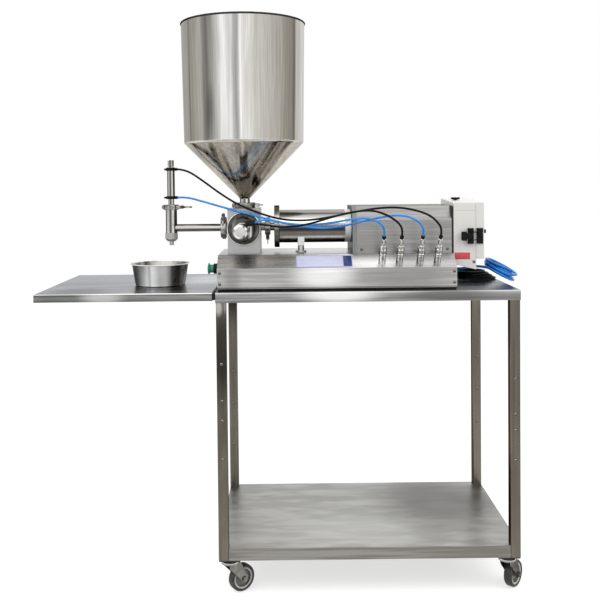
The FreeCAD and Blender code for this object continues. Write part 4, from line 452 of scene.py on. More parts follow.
def make_other_finishes():
    """Powder coat, plastics, rubber and print, and the dark finish of the painted shade in gaps and round screw
    heads.
    """
    tone = colours()
    # powder coat: a warm pale grey with a fine orange peel, about 1.5 mm across
    finish("powder_coated_enclosure", tone.enclosure, 0.42, (1.6, 1.6, 1.6), shade=0.015, swing=0.05,
           relief=0.03, IOR=1.5)
    # folded seam of the coated box: a soft grey line
    finish("enclosure_seam", linear("#a9a8a2"), 0.5, (5, 5, 5), shade=0.08, IOR=1.5)
    # turned acetal collar: milky white, rounded by painted shade along its top and bottom
    finish("white_guide_plastic", linear("#e6e4df"), 0.38, (60, 8, 8), shade=0.02, IOR=1.35,
           bands=("Z", CYLINDER_Z, 36, COLLAR_LEVEL_SHADE))
    # moulded button: deep green and shiny
    finish("glossy_green_plastic", tone.button, 0.20, (12, 12, 12), shade=0.10, IOR=1.5)
    # moulded nylon: an even dull black with a spark-eroded texture
    finish("black_moulded_nylon", linear("#0c0c0c"), 0.48, (1.2, 1.2, 1.2), shade=0.2, relief=0.03,
           IOR=1.25)
    # dead black: rubber for the base's feet, and for the strips that stand for the shade in the gaps under the
    # base and beside the table
    finish("black_rubber_and_gap_shade", linear("#0a0a0a"), 0.7, (2.5, 2.5, 2.5), shade=0.2, relief=0.05,
           IOR=1.4)
    # tyre: dark grey rubber, dusty in places
    finish("dark_tyre_rubber", linear("#303031"), 0.62, (4, 4, 4), shade=0.18, swing=0.08, relief=0.1,
           IOR=1.45, blotches=(((18, 18, 18), 0.3, "#6b6864"),))
    # hub: a moulded grey disc, with a painted highlight on its lip
    finish("hub_lip_highlight", linear("#c3c2bf"), 0.4, (3, 3, 3), shade=0.1, relief=0.05, IOR=1.5)
    finish("grey_hub_nylon", linear("#73716e"), 0.45, (3, 3, 3), shade=0.08, relief=0.05, IOR=1.5)
    # polyurethane tube and hose: clear bright blue with deeper stretches
    finish("blue_air_tube", tone.air, 0.25, (30, 30, 30), shade=0.10, IOR=1.45,
           blotches=(((24, 24, 6), 0.35, "#0d5fae"),))
    finish("blue_supply_hose", tone.hose, 0.25, (26, 26, 26), shade=0.12, IOR=1.45,
           blotches=(((20, 20, 20), 0.45, "#06408f"),))
    # black tube and cable sheath: soft black, the sheath a little rougher
    finish("black_air_tube", linear("#070707"), 0.42, (30, 30, 30), shade=0.2, IOR=1.25)
    finish("black_cable_sheath", linear("#060606"), 0.5, (14, 14, 14), shade=0.3, relief=0.03, IOR=1.25)
    # printed film on the plates: flat colour under a satin varnish
    finish("printed_badge_field", tone.badge, 0.35, (40, 6, 6), shade=0.05, IOR=1.5)
    finish("printed_badge_pale", linear("#c3c5de"), 0.35, (40, 6, 6), shade=0.04, IOR=1.5)
    finish("printed_badge_edge", tone.badge_edge, 0.35, (40, 6, 6), shade=0.04, IOR=1.5)
    finish("printed_label_field", tone.label, 0.42, (9, 3, 3), shade=0.10, IOR=1.5)
    finish("printed_label_edge", linear("#e3c9bf"), 0.42, (9, 3, 3), shade=0.04, IOR=1.5)
    # dark joints, seals and sockets, and the painted shade ring round each screw head
    finish("dark_joint_and_shade_line", linear("#1c1c1c"), 0.6, (5, 5, 5), shade=0.1, IOR=1.4)


NODE_FINISHES = {
    "brushed_base_sheet": ("base_cover", "base_end_plates"),
    "brushed_skirt_sheet": ("table_top",),
    "brushed_side_skirt": ("side_shelf",),
    "dull_shelf_skirt": ("lower_shelf",),
    "ground_square_tube": ("legs", "shelf_arms"),
    "mirror_polished_steel": ("hopper",),
    "polished_cylinder": ("product_cylinder",),
    "turned_flange": ("cylinder_flange",),
    "turned_steel": ("piston_rod", "pistons", "nozzle_plunger", "valve_spool"),
    "polished_nozzle_body": ("nozzle_body",),
    "polished_nozzle_cylinder": ("nozzle_cylinder",),
    "polished_cover_face": ("valve_cover", "valve_actuator"),
    "cast_clamp_steel": ("pipe_clamps", "dome_screws"),
    "satin_cover_sheet": ("drive_cover",),
    "milled_block_steel": ("valve_block",),
    "blasted_nut_steel": ("nozzle_cap_nut",),
    "shaded_zinc_plate": ("caster_plates",),
    "dull_zinc_fork": ("caster_fork_front_left", "caster_fork_front_right", "caster_fork_rear_left",
                       "caster_fork_rear_right"),
    "satin_post_steel": ("support_post",),
    "nickel_coupler_1": ("couplers", "coupler_sleeve_1"),
    "nickel_coupler_2": ("coupler_sleeve_2",),
    "nickel_coupler_3": ("coupler_sleeve_3",),
    "nickel_coupler_4": ("coupler_sleeve_4",),
    "drive_plate_steel": ("drive_front_plate",),
    "clear_anodised_aluminium": ("air_cylinder",),
    "pressed_bowl_steel": ("drip_bowl",),
    "powder_coated_enclosure": ("control_box", "control_box_door"),
    "white_guide_plastic": ("rear_collar",),
    "glossy_green_plastic": ("push_button",),
    "black_moulded_nylon": ("button_collar", "push_in_fittings", "latch_base", "latch_lever", "latch_bail",
                            "latch_catch", "box_knob"),
    "black_rubber_and_gap_shade": ("base_feet",),
    "dark_tyre_rubber": ("caster_wheel_front_left", "caster_wheel_front_right", "caster_wheel_rear_left",
                         "caster_wheel_rear_right"),
    "blue_air_tube": ("tube_blue_nozzle", "tube_blue_valve"),
    "black_air_tube": ("tube_black_nozzle", "tube_black_valve"),
    "blue_supply_hose": ("supply_hose", "hose_coil"),
    "black_cable_sheath": ("cable_hank",),
}
WHEELS = {"front_left": 35.0, "front_right": 50.0, "rear_left": -50.0, "rear_right": -115.0}


def paint(obj, material):
    """Gives the piece this one material."""
    obj.data.materials.clear()
    obj.data.materials.append(bpy.data.materials[material])
    return obj


def paint_where(obj, material, test):
    """Gives the faces whose place in millimetres and outward way pass the test one more material."""
    obj.data.materials.append(bpy.data.materials[material])
    last = len(obj.data.materials) - 1
    for face in obj.data.polygons:
        if test((face.center - CORNER) / MM, face.normal):
            face.material_index = last


def dress_nodes():
    """Second finishes on carried-over pieces that have more than one in the photograph. Many are painted light:
    paler and darker copies of one sheet, reflections painted along each pipe's own axis, and a highlight on each
    hub's lip.
    """
    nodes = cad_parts
    paint_where(nodes["table_top"], "brushed_table_face", lambda place, way: way.z > 0.9)
    paint_where(nodes["side_shelf"], "brushed_side_face", lambda place, way: way.z > 0.9)
    # the slope and the top of the base get paler copies of the sheet: painted light
    paint_where(nodes["base_cover"], "brushed_base_slope", lambda place, way: way.z > 0.5 and way.y < -0.3)
    paint_where(nodes["base_cover"], "brushed_base_top", lambda place, way: way.z > 0.9)
    paint_where(nodes["lower_shelf"], "dull_shelf_sheet", lambda place, way: way.z > 0.9)
    paint_where(nodes["nozzle_body"], "polished_arm_pipe", lambda place, way: place.x > -126)
    for number, x in list(enumerate(COUPLER_X, 1))[1:]:
        paint_where(nodes["couplers"], "nickel_coupler_%d" % number, lambda place, way: abs(place.x - x) < 15)
    paint_where(nodes["couplers"], "black_moulded_nylon",
                lambda place, way: (place - Vector(COUPLER_FOOT)).dot(SLOPE_UP) > 86.2)
    for name, heading in WHEELS.items():
        paint_where(nodes["caster_fork_" + name], "bright_zinc_cap", lambda place, way: place.z > 91)
        wheel = nodes["caster_wheel_" + name]
        low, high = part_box("caster_wheel_" + name)
        middle = ((low + high) / 2 - CORNER) / MM
        axle = Vector((-math.sin(math.radians(heading)), math.cos(math.radians(heading)), 0))

        def off_axle(place):
            reach = place - middle
            return (reach - axle * reach.dot(axle)).length
        paint_where(wheel, "grey_hub_nylon", lambda place, way: off_axle(place) < 28.6)
        # the paler ring on each hub's lip is a painted highlight
        paint_where(wheel, "hub_lip_highlight", lambda place, way: 25.2 < off_axle(place) < 29.2
                    and abs(way.dot(axle)) > 0.7)
        paint_where(wheel, "bright_zinc_cap", lambda place, way: off_axle(place) < 7.0)


# pieces

def new_piece(name, mesh, body="root", smooth=30.0):
    """An object with its mesh in place, riding on a body, its faces smooth up to an angle."""
    obj = bpy.data.objects.new(name, mesh)
    bpy.context.scene.collection.objects.link(obj)
    mesh.polygons.foreach_set("use_smooth", [True] * len(mesh.polygons))
    mesh.set_sharp_from_angle(angle=math.radians(smooth))
    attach(obj, body)
    return obj


def eased(profile, radius):
    """The same profile with its corners eased by small arcs."""
    count = len(profile)
    made = []
    for i, corner in enumerate(profile):
        before, here, after = (Vector(profile[i - 1]), Vector(corner), Vector(profile[(i + 1) % count]))
        one, two = before - here, after - here
        reach = min(radius, 0.4 * one.length, 0.4 * two.length)
        if min(before.x, here.x, after.x) <= 0 and here.x <= 0 or one.angle(two) > math.radians(170):
            made.append(tuple(here))
            continue
        start, end = here + one.normalized() * reach, here + two.normalized() * reach
        made += [tuple(start), tuple((start + 2 * here + end) / 4), tuple(end)]
    return made


def frame_along(start, direction):
    """The turn and place that carries +Z to a direction, with lengths still in millimetres."""
    turn = Vector((0, 0, 1)).rotation_difference(Vector(direction).normalized()).to_matrix().to_4x4()
    return Matrix.Translation(spot(*start)) @ turn @ Matrix.Scale(MM, 4)


def turned_mesh(name, profile, start, direction=(0, 0, 1), segments=96):
    """A closed turned mesh from a closed (radius, height) profile in millimetres, counter-clockwise."""
    shape = bmesh.new()
    rings = []
    for radius, height in profile:
        if radius <= 1e-6:
            rings.append([shape.verts.new((0, 0, height))])
            continue
        rings.append([shape.verts.new((radius * math.cos(2 * math.pi * i / segments),
                                       radius * math.sin(2 * math.pi * i / segments), height))
                      for i in range(segments)])
    for i, ring in enumerate(rings):
        after = rings[(i + 1) % len(rings)]
        if len(ring) == 1 and len(after) == 1:
            continue
        for k in range(segments):
            n = (k + 1) % segments
            if len(ring) == 1:
                shape.faces.new((ring[0], after[n], after[k]))
            elif len(after) == 1:
                shape.faces.new((ring[k], ring[n], after[0]))
            else:
                shape.faces.new((ring[k], ring[n], after[n], after[k]))
    bmesh.ops.recalc_face_normals(shape, faces=shape.faces)
    shape.transform(frame_along(start, direction))
    mesh = bpy.data.meshes.new(name)
    shape.to_mesh(mesh)
    shape.free()
    return mesh


def turned(name, profile, start, direction, material, body="root", ease=0.6, segments=96):
    """A turned piece with eased edges."""
    mesh = turned_mesh(name, eased(profile, ease) if ease else profile, start, direction, segments)
    return paint(new_piece(name, mesh, body), material)


def ring_profile(inner, outer, low, high):
    return [(inner, low), (outer, low), (outer, high), (inner, high)]


def slab(name, outline, thickness, place, material, body="root", ease=0.3):
    """A thin plate from an outline in millimetres, its face along the place's +Z."""
    shape = bmesh.new()
    ring = [shape.verts.new((x, y, 0)) for x, y in outline]
    face = shape.faces.new(ring)
    face.normal_update()
    if face.normal.z < 0:
        face.normal_flip()
    moved = bmesh.ops.extrude_face_region(shape, geom=[face])["geom"]
    bmesh.ops.translate(shape, verts=[g for g in moved if isinstance(g, bmesh.types.BMVert)],
                        vec=(0, 0, thickness))
    bmesh.ops.recalc_face_normals(shape, faces=shape.faces)
    top = [e for e in shape.edges if all(v.co.z > thickness - 1e-6 for v in e.verts)]
    bmesh.ops.bevel(shape, geom=top, offset=ease, segments=2, affect="EDGES", profile=0.5)
    shape.transform(place)
    mesh = bpy.data.meshes.new(name)
    shape.to_mesh(mesh)
    shape.free()
    return paint(new_piece(name, mesh, body), material)


def rounded_outline(width, height, radius, steps=6):
    """A rectangle with round corners, its middle at nought."""
    points = []
    for corner, (sx, sy) in enumerate(((1, 1), (-1, 1), (-1, -1), (1, -1))):
        for i in range(steps + 1):
            angle = math.pi / 2 * (corner + i / steps)
            points.append((sx * (width / 2 - radius) + radius * math.cos(angle),
                           sy * (height / 2 - radius) + radius * math.sin(angle)))
    return points


def axes_place(start, across, up):
    """The place whose X runs across, whose Y runs up and whose Z is their cross product."""
    x, y = Vector(across).normalized(), Vector(up).normalized()
    z = x.cross(y)
    turn = Matrix((x, y, z)).transposed().to_4x4()
    return Matrix.Translation(spot(*start)) @ turn @ Matrix.Scale(MM, 4)


def bend(before, corner, after, reach, steps=6):
    """A soft corner of a profile: points on a parabola that starts and ends a reach away."""
    before, corner, after = Vector(before), Vector(corner), Vector(after)
    start = corner + (before - corner).normalized() * reach
    end = corner + (after - corner).normalized() * reach
    return [tuple(start * (1 - t) ** 2 + corner * 2 * t * (1 - t) + end * t ** 2)
            for t in (i / steps for i in range(steps + 1))]


def rolled_edge(radius, height, size, steps=10):
    """A full round edge, seen in section, that starts below on its inner side."""
    return [(radius + size * math.sin(a), height - size * math.cos(a))
            for a in (2 * math.pi * (i / steps - 0.06) for i in range(steps))]


def make_hopper():
    """Wall and cone with the rolled rim, and the neck with its ferrule. The wall mirrors the room."""
    place = (75, 190, 1085.3)
    low, shoulder, top = (14.5, 19.5), (176, 182.5), (182, 530.5)
    thick = sizes().hopper_wall / MM
    outer = [low, (15.5, 20.5)] + [(172.0, 178.5)] + bend(low, shoulder, top, 4.0) + [(176.12, 187.5), top]
    inner = [(top[0] - thick, top[1]), (176.1 - thick, 187.5)] \
        + bend((180 - thick, 500), (176 - thick, 183.5), (12.5, 20.5), 4.0) + [(12.5, 20.0)]
    shell = turned("hopper_shell", outer + inner, place, (0, 0, 1), "mirror_polished_steel", ease=0, segments=128)
    # the cone takes the darker copy of the polish, painted for the machine that it mirrors
    paint_where(shell, "mirror_polished_cone", lambda spot_at, way: spot_at.z < 1266)
    # the rim's bead is painted nearly black for its shade
    bead = turned("hopper_rim", rolled_edge(181, 530.5, 3.0), place, (0, 0, 1), "rim_bead_painted_shade", ease=0,
                  segments=128)
    neck = turned("hopper_neck", [(12.5, 0), (25.25, 0), (25.25, 1.5), (14.5, 5.5), (14.5, 19.5), (12.5, 19.5)],
                  place, (0, 0, 1), "polished_neck", ease=0.4, segments=64)
    weld = turned("hopper_weld", rolled_edge(14.6, 19.7, 0.9, 8), place, (0, 0, 1), "cast_clamp_steel", ease=0,
                  segments=64)
    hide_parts("hopper")
    return shell, bead, neck, weld


def make_bowl():
    """The pressed bowl: a soft corner at its foot and a rolled rim."""
    place = (-181.5, 213, 850.3)
    wall = 1.2
    outer = [(0, 0)] + bend((0, 0), (73.5, 0), (84, 62.8), 4.5) \
        + [(83.6, 61.6), (84.6, 62.4), (86.4, 62.2), (87.8, 62.5), (88.5, 63.3), (88.1, 64.1), (87.0, 64.5)]
    inner = [(84.4, 64.5), (83.0, 63.9), (82.5, 62.6)] + bend((84 - wall, 62.8), (72.6, wall), (0, wall), 4.5)
    bowl = turned("bowl", outer + inner + [(0, wall)], place, (0, 0, 1), "pressed_bowl_steel", "drip_bowl",
                  ease=0, segments=96)

    def inward(point, way):
        out = Vector((point.x - place[0], point.y - place[1], 0))
        return way.dot(out.normalized()) < -0.2 or (way.z > 0.6 and point.z < 905)
    paint_where(bowl, "bowl_inside_steel", inward)
    # the top of the rolled rim carries a painted highlight
    paint_where(bowl, "turned_rim_highlight", lambda point, way: point.z > 911.5)
    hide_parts("drip_bowl")
    return bowl


def make_valve_front():
    """The valve's turned cover with its rings, and the in-line air cylinder before it."""
    block, bonnet = (75, 120, 1020), (75, 50, 1020)
    cover = turned("valve_cover_turned", [
        (5.1, 0), (48.5, 0), (48.5, 5), (46.5, 6), (46.5, 8), (48.5, 9), (48.5, 13.4), (47.2, 15), (45.8, 15),
        (45.2, 13.8), (43.2, 13.8), (42.6, 15), (38, 15), (32, 20), (32, 61), (29, 62), (29, 64), (32, 65),
        (32, 69), (31, 70), (5.1, 70)], block, (0, -1, 0), "polished_cover_face", ease=0.3)
    # the outer ring gets a painted highlight, and the neck painted reflections
    paint_where(cover, "turned_rim_highlight",
                lambda place, way: place.y < 112 and math.hypot(place.x - 75, place.z - 1020) > 45.4)
    paint_where(cover, "polished_bonnet", lambda place, way: place.y < 99.8)
    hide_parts("valve_cover")
    actuator = turned("valve_actuator_turned", [
        (5.5, 0), (20, 0), (20, 12), (18.5, 13), (18, 13), (18, 93), (19, 93), (20, 94), (20, 108), (19.4, 109),
        (14.4, 114.2), (13.4, 115), (0, 115), (0, 110), (15, 110), (15, 5), (5.5, 5)],
        bonnet, (0, -1, 0), "polished_barrel", ease=0.3, segments=64)
    paint_where(actuator, "satin_end_cap",
                lambda place, way: place.y < -64 and math.hypot(place.x - 75, place.z - 1020) < 13.6)
    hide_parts("valve_actuator")
    rings = [turned("barrel_ring_%d" % i, ring_profile(18, 18.5, at, at + 1.2), bonnet, (0, -1, 0),
                    "dark_joint_and_shade_line", ease=0.1, segments=64) for i, at in enumerate((13.2, 91.6))]
    return [cover, actuator] + rings


def make_badge():
    """The bare name plate on the sloping panel: a pale field, an edge and a dark end. Its print is left off."""
    along_slope = (0, 0.7893, 0.6140)

    def plate(name, x, share, width, height, radius, lift, thick, material):
        start = Vector((x, 45, 911)) + Vector(along_slope) * share + SLOPE_UP * lift
        return slab(name, rounded_outline(width, height, radius), thick, axes_place(start, (1, 0, 0), along_slope),
                    material, ease=0.12)
    return [plate("badge_edge", 303.5, 27.1, 159, 47.3, 5, 0.0, 0.8, "printed_badge_edge"),
            plate("badge_field", 291.3, 27.1, 128.6, 42.5, 3.5, 0.8, 0.15, "printed_badge_pale"),
            plate("badge_dark_end", 369.0, 27.1, 23.5, 42.5, 3.5, 0.8, 0.15, "printed_badge_field")]


def make_box_details():
    """The control box's folded seam, the line at its door, its rubber seal and the bare label."""
    upright = axes_place((698.5, 92, 937), (1, 0, 0), (0, 0, 1))
    label = slab("box_label", rounded_outline(47, 22, 1.6), 0.35, upright, "printed_label_edge", ease=0.1)
    field = slab("box_label_field", rounded_outline(44.4, 19.4, 1.0), 0.12,
                 axes_place((698.5, 91.65, 937), (1, 0, 0), (0, 0, 1)), "printed_label_field", ease=0.05)
    seam = slab("box_seam", rounded_outline(61.5, 1.0, 0.4), 0.12,
                axes_place((705.5, 92, 1066.9), (1, 0, 0), (0, 0, 1)), "enclosure_seam", ease=0.05)
    line = slab("box_door_line", rounded_outline(1.1, 156, 0.4), 0.12,
                axes_place((737.2, 92, 1007), (1, 0, 0), (0, 0, 1)), "enclosure_seam", ease=0.05)
    seal = slab("cover_seal", rounded_outline(196, 133, 4), 5.4,
                axes_place((668.3, 191, 1013.5), (0, 1, 0), (0, 0, 1)), "dark_joint_and_shade_line", ease=0.5)
    return [label, field, seam, line, seal]


def make_gap_shade_strips():
    """Dark strips of painted shade: one in the shadow gap under the base's front, and one in the gap beside the
    table.
    """
    return [slab("base_strip", rounded_outline(668, 3.2, 1.0), 6.0,
                 axes_place((338, 52, 851.9), (1, 0, 0), (0, 0, 1)), "black_rubber_and_gap_shade", ease=0.6),
            slab("base_strip_lip", rounded_outline(668, 2.3, 0.8), 5.0,
                 axes_place((338, 52, 854.8), (1, 0, 0), (0, 0, 1)), "brushed_base_sheet", ease=0.4),
            slab("shelf_gap_strip", rounded_outline(494, 18.5, 2.0), 6.6,
                 axes_place((-7.4, 250, 838.6), (0, 1, 0), (0, 0, 1)), "black_rubber_and_gap_shade", ease=0.6)]


# where the dome screws stand, as (x, y, z) and the way that each faces
def screw_places():
    heights = ((15.5, 1.5, (653, 551, 496, 389)), (824.5, 1.5, (604, 507, 462, 378)),
               (15.5, 470.5, (530, 421, 286)), (824.5, 470.5, (570, 462, 352)))
    places = [((x, y, z), (0, -1, 0)) for x, y, levels in heights for z in levels]
    places += [((x, 45, z), (0, -1, 0)) for x in (9.5, 666.5) for z in (868, 899)]
    places += [((411, 90, 958), (0, -1, 0)), ((656, 90, 958), (0, -1, 0)), ((411, 138, 1081), (0, 0, 1)),
               ((620, 138, 1081), (0, 0, 1)), ((732, 92, 920), (0, -1, 0))]
    return places


def make_screws():
    places = screw_places()
    size = sizes()
    seeds = empty_mesh("screw_seeds", [spot(*place) for place, way in places], [way for place, way in places])
    values = {"Head Diameter": size.screw_head, "Head Height": size.screw_height,
              "Socket Width": size.screw_socket, "Head Material": bpy.data.materials["polished_screw_head"],
              "Socket and Shade Material": bpy.data.materials["dark_joint_and_shade_line"]}
    screws = grow("screw_heads", seeds, make_screw_tree(), values)
    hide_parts("dome_screws")
    return screws


def make_knurls():
    """Straight knurls on the two raised bands of each coupler sleeve."""
    size = sizes()
    made = []
    for number, x in enumerate(COUPLER_X, 1):
        for part, (middle, length) in enumerate(((31.6, 2.6), (47.0, 3.6))):
            made.append(ridges("knurl_%d_%d" % (number, part), size.knurl_count, 10.4, 1.2,
                               size.knurl_depth / MM, length, "nickel_coupler_%d" % number,
                               coupler_point(x, middle), SLOPE_UP, "sleeve_%d" % number))
    return made


# geometry node trees

def tree_with_inputs(name, inputs):
    """A geometry tree with its named inputs, and the group's two end nodes."""
    tree = bpy.data.node_groups.new(name, "GeometryNodeTree")
    tree.interface.new_socket("Geometry", in_out="INPUT", socket_type="NodeSocketGeometry")
    for label, kind in inputs:
        tree.interface.new_socket(label, in_out="INPUT", socket_type=kind)
    tree.interface.new_socket("Geometry", in_out="OUTPUT", socket_type="NodeSocketGeometry")
    return tree, node(tree, "NodeGroupInput"), node(tree, "NodeGroupOutput")


def grow(name, base_mesh, tree, values, place=None, body="root"):
    """Runs a geometry tree on a base mesh and keeps the result as a plain mesh in its place."""
    carrier = bpy.data.objects.new(name + "_carrier", base_mesh)
    bpy.context.scene.collection.objects.link(carrier)
    modifier = carrier.modifiers.new("grow", "NODES")
    modifier.node_group = tree
    named = {item.name: item.identifier for item in tree.interface.items_tree if item.in_out == "INPUT"}
    for label, value in values.items():
        modifier[named[label]] = value
    bpy.context.view_layer.update()
    done = carrier.evaluated_get(bpy.context.evaluated_depsgraph_get())
    mesh = bpy.data.meshes.new_from_object(done)
    carrier.modifiers.remove(modifier)
    bpy.data.objects.remove(carrier)
    if not mesh.polygons:
        raise RuntimeError(name + ": the tree made no faces")
    mesh.name = name
    if place is not None:
        mesh.transform(place)
    return new_piece(name, mesh, body)


def make_screw_tree():
    """A dome head with a hexagon socket and a dark ring of painted shade under its rim on every point, turned its
    own way.
    """
    tree, start, end = tree_with_inputs("dome_screw_heads", (
        ("Head Diameter", "NodeSocketFloat"), ("Head Height", "NodeSocketFloat"),
        ("Socket Width", "NodeSocketFloat"), ("Head Material", "NodeSocketMaterial"),
        ("Socket and Shade Material", "NodeSocketMaterial")))
    half = node(tree, "ShaderNodeMath", {0: start.outputs["Head Diameter"], 1: 0.5}, operation="MULTIPLY")
    dome = node(tree, "GeometryNodeMeshUVSphere", {"Segments": 24, "Rings": 12, "Radius": 1.0})
    stretch = node(tree, "ShaderNodeCombineXYZ", {"X": half.outputs[0], "Y": half.outputs[0],
                                                  "Z": start.outputs["Head Height"]})
    shaped = node(tree, "GeometryNodeTransform", {"Geometry": dome.outputs["Mesh"],
                                                  "Scale": stretch.outputs[0]})
    head = node(tree, "GeometryNodeSetMaterial", {"Geometry": shaped.outputs[0],
                                                  "Material": start.outputs["Head Material"]})
    socket_radius = node(tree, "ShaderNodeMath", {0: start.outputs["Socket Width"], 1: 0.577},
                         operation="MULTIPLY")
    depth = node(tree, "ShaderNodeMath", {0: start.outputs["Head Height"], 1: 0.1}, operation="MULTIPLY")
    lift = node(tree, "ShaderNodeMath", {0: start.outputs["Head Height"], 1: 0.97}, operation="MULTIPLY")
    socket = node(tree, "GeometryNodeMeshCylinder", {"Vertices": 6, "Radius": socket_radius.outputs[0],
                                                     "Depth": depth.outputs[0]})
    rise = node(tree, "ShaderNodeCombineXYZ", {"Z": lift.outputs[0]})
    raised = node(tree, "GeometryNodeTransform", {"Geometry": socket.outputs["Mesh"],
                                                  "Translation": rise.outputs[0]})
    hole = node(tree, "GeometryNodeSetMaterial", {"Geometry": raised.outputs[0],
                                                  "Material": start.outputs["Socket and Shade Material"]})
    # a dark ring just wider than the head, under it: painted shade round the screw
    wide = node(tree, "ShaderNodeMath", {0: half.outputs[0], 1: 1.15}, operation="MULTIPLY")
    ring = node(tree, "GeometryNodeMeshCylinder", {"Vertices": 24, "Radius": wide.outputs[0],
                                                   "Depth": depth.outputs[0]})
    shade = node(tree, "GeometryNodeSetMaterial", {"Geometry": ring.outputs["Mesh"],
                                                   "Material": start.outputs["Socket and Shade Material"]})
    both = node(tree, "GeometryNodeJoinGeometry")
    tree.links.new(head.outputs[0], both.inputs[0])
    tree.links.new(shade.outputs[0], both.inputs[0])
    tree.links.new(hole.outputs[0], both.inputs[0])
    way = node(tree, "GeometryNodeInputNamedAttribute", {"Name": "way"}, data_type="FLOAT_VECTOR")
    aim = node(tree, "FunctionNodeAlignRotationToVector", {"Vector": way.outputs[0]}, axis="Z")
    placed = node(tree, "GeometryNodeInstanceOnPoints", {"Points": start.outputs["Geometry"],
                                                         "Instance": both.outputs[0],
                                                         "Rotation": aim.outputs[0]})
    real = node(tree, "GeometryNodeRealizeInstances", {"Geometry": placed.outputs[0]})
    tree.links.new(real.outputs[0], end.inputs[0])
    return tree


def make_ridge_tree():
    """Raised ridges in a ring, as a node tree: the knurls of the couplers."""
    tree, start, end = tree_with_inputs("ridges_round_a_drum", (
        ("Count", "NodeSocketInt"), ("Drum Radius", "NodeSocketFloat"), ("Ridge Width", "NodeSocketFloat"),
        ("Ridge Height", "NodeSocketFloat"), ("Ridge Length", "NodeSocketFloat"),
        ("Material", "NodeSocketMaterial")))
    circle = node(tree, "GeometryNodeMeshCircle", {"Vertices": start.outputs["Count"],
                                                   "Radius": start.outputs["Drum Radius"]})
    where = node(tree, "GeometryNodeInputPosition")
    aim = node(tree, "FunctionNodeAlignRotationToVector", {"Vector": where.outputs[0]}, axis="X",
               pivot_axis="Z")
    double = node(tree, "ShaderNodeMath", {0: start.outputs["Ridge Height"], 1: 2.0}, operation="MULTIPLY")
    size = node(tree, "ShaderNodeCombineXYZ", {"X": double.outputs[0], "Y": start.outputs["Ridge Width"],
                                               "Z": start.outputs["Ridge Length"]})
    block = node(tree, "GeometryNodeMeshCylinder", {"Vertices": 8, "Radius": 0.5, "Depth": 1.0})
    ridge = node(tree, "GeometryNodeTransform", {"Geometry": block.outputs["Mesh"], "Scale": size.outputs[0]})
    placed = node(tree, "GeometryNodeInstanceOnPoints", {"Points": circle.outputs[0],
                                                         "Instance": ridge.outputs[0],
                                                         "Rotation": aim.outputs[0]})
    real = node(tree, "GeometryNodeRealizeInstances", {"Geometry": placed.outputs[0]})
    dressed = node(tree, "GeometryNodeSetMaterial", {"Geometry": real.outputs[0],
                                                     "Material": start.outputs["Material"]})
    tree.links.new(dressed.outputs[0], end.inputs[0])
    return tree


def empty_mesh(name, points=((0, 0, 0),), ways=None):
    """A mesh of loose points, each with the way it faces."""
    mesh = bpy.data.meshes.new(name)
    mesh.from_pydata([tuple(p) for p in points], [], [])
    if ways:
        attribute = mesh.attributes.new("way", "FLOAT_VECTOR", "POINT")
        for i, way in enumerate(ways):
            attribute.data[i].vector = way
    return mesh


def ridges(name, count, radius, width, height, length, material, start, direction, body="root"):
    """Ridges round a drum, in millimetres, whose middle lies at a point."""
    tree = bpy.data.node_groups.get("ridges_round_a_drum") or make_ridge_tree()
    values = {"Count": count, "Drum Radius": float(radius), "Ridge Width": float(width),
              "Ridge Height": float(height), "Ridge Length": float(length),
              "Material": bpy.data.materials[material]}
    return grow(name, empty_mesh(name + "_seed"), tree, values, frame_along(start, direction), body)


# cords

TUBE_MIDDLES = {
    "tube_black_nozzle": [(-97, 188, 1192), (-48, 169, 1160), (4, 145, 1122), (58, 120, 1089), (122, 102, 1063),
                          (186, 88, 1045), (252, 80, 1042), (316, 70, 1051), (380, 56, 1065), (446, 40, 1077),
                          (508, 22, 1080), (560, 0, 1070), (592, -14, 1056)],
    "tube_blue_nozzle": [(-98, 186, 1111.5), (-50, 165, 1099), (4, 124, 1085), (58, 84, 1071), (118, 66, 1056),
                         (180, 58, 1040), (240, 54, 1027), (302, 48, 1021), (364, 40, 1029), (424, 28, 1045),
                         (484, 8, 1058), (519, -10, 1058), (544, -16.5, 1050)],
    "tube_black_valve": [(136, -27, 1038), (180, -17, 1029), (232, -4, 1031), (282, 6, 1042), (332, 12, 1057),
                         (384, 12, 1069), (430, 2, 1073), (463, -11, 1064), (487, -16.5, 1050.5)],
    "tube_blue_valve": [(134, 42, 1050), (178, 36, 1041), (232, 28, 1033), (290, 20, 1034), (342, 12, 1042),
                        (384, 0, 1050), (413, -12, 1052), (437.5, -16.5, 1047.5)],
}
# name: exit, coupler, length seen in the photograph in millimetres, material
AIR_TUBES = {
    "tube_black_nozzle": ((-123.75, 190, 1193.5), 3, 855.0, "black_air_tube"),
    "tube_blue_nozzle": ((-123.75, 190, 1110), 2, 788.0, "blue_air_tube"),
    "tube_black_valve": ((109.5, -54, 1040.5), 1, 468.0, "black_air_tube"),
    "tube_blue_valve": ((109.5, 44, 1040.5), 0, 400.0, "blue_air_tube"),
}


def cord_curve(name, points, diameter, material, replaced):
    """A round cord on one smooth spline whose control points are given in millimetres."""
    curve = bpy.data.curves.new(name, "CURVE")
    curve.dimensions = "3D"
    curve.bevel_depth = diameter / 2
    curve.bevel_resolution = 5
    curve.resolution_u = 8
    curve.use_fill_caps = True
    spline = curve.splines.new("NURBS")
    spline.points.add(len(points) - 1)
    for point, place in zip(spline.points, points):
        point.co = (*spot(*place), 1.0)
    spline.order_u = 3
    spline.use_endpoint_u = True
    obj = bpy.data.objects.new(name, curve)
    bpy.context.scene.collection.objects.link(obj)
    curve.materials.append(bpy.data.materials[material])
    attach(obj, "root")
    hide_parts(*replaced)
    return obj


def coupler_point(x, distance):
    """A point that far up a coupler from the sloping panel."""
    return Vector((x, 0, 0)) + Vector(COUPLER_FOOT) + SLOPE_UP * distance


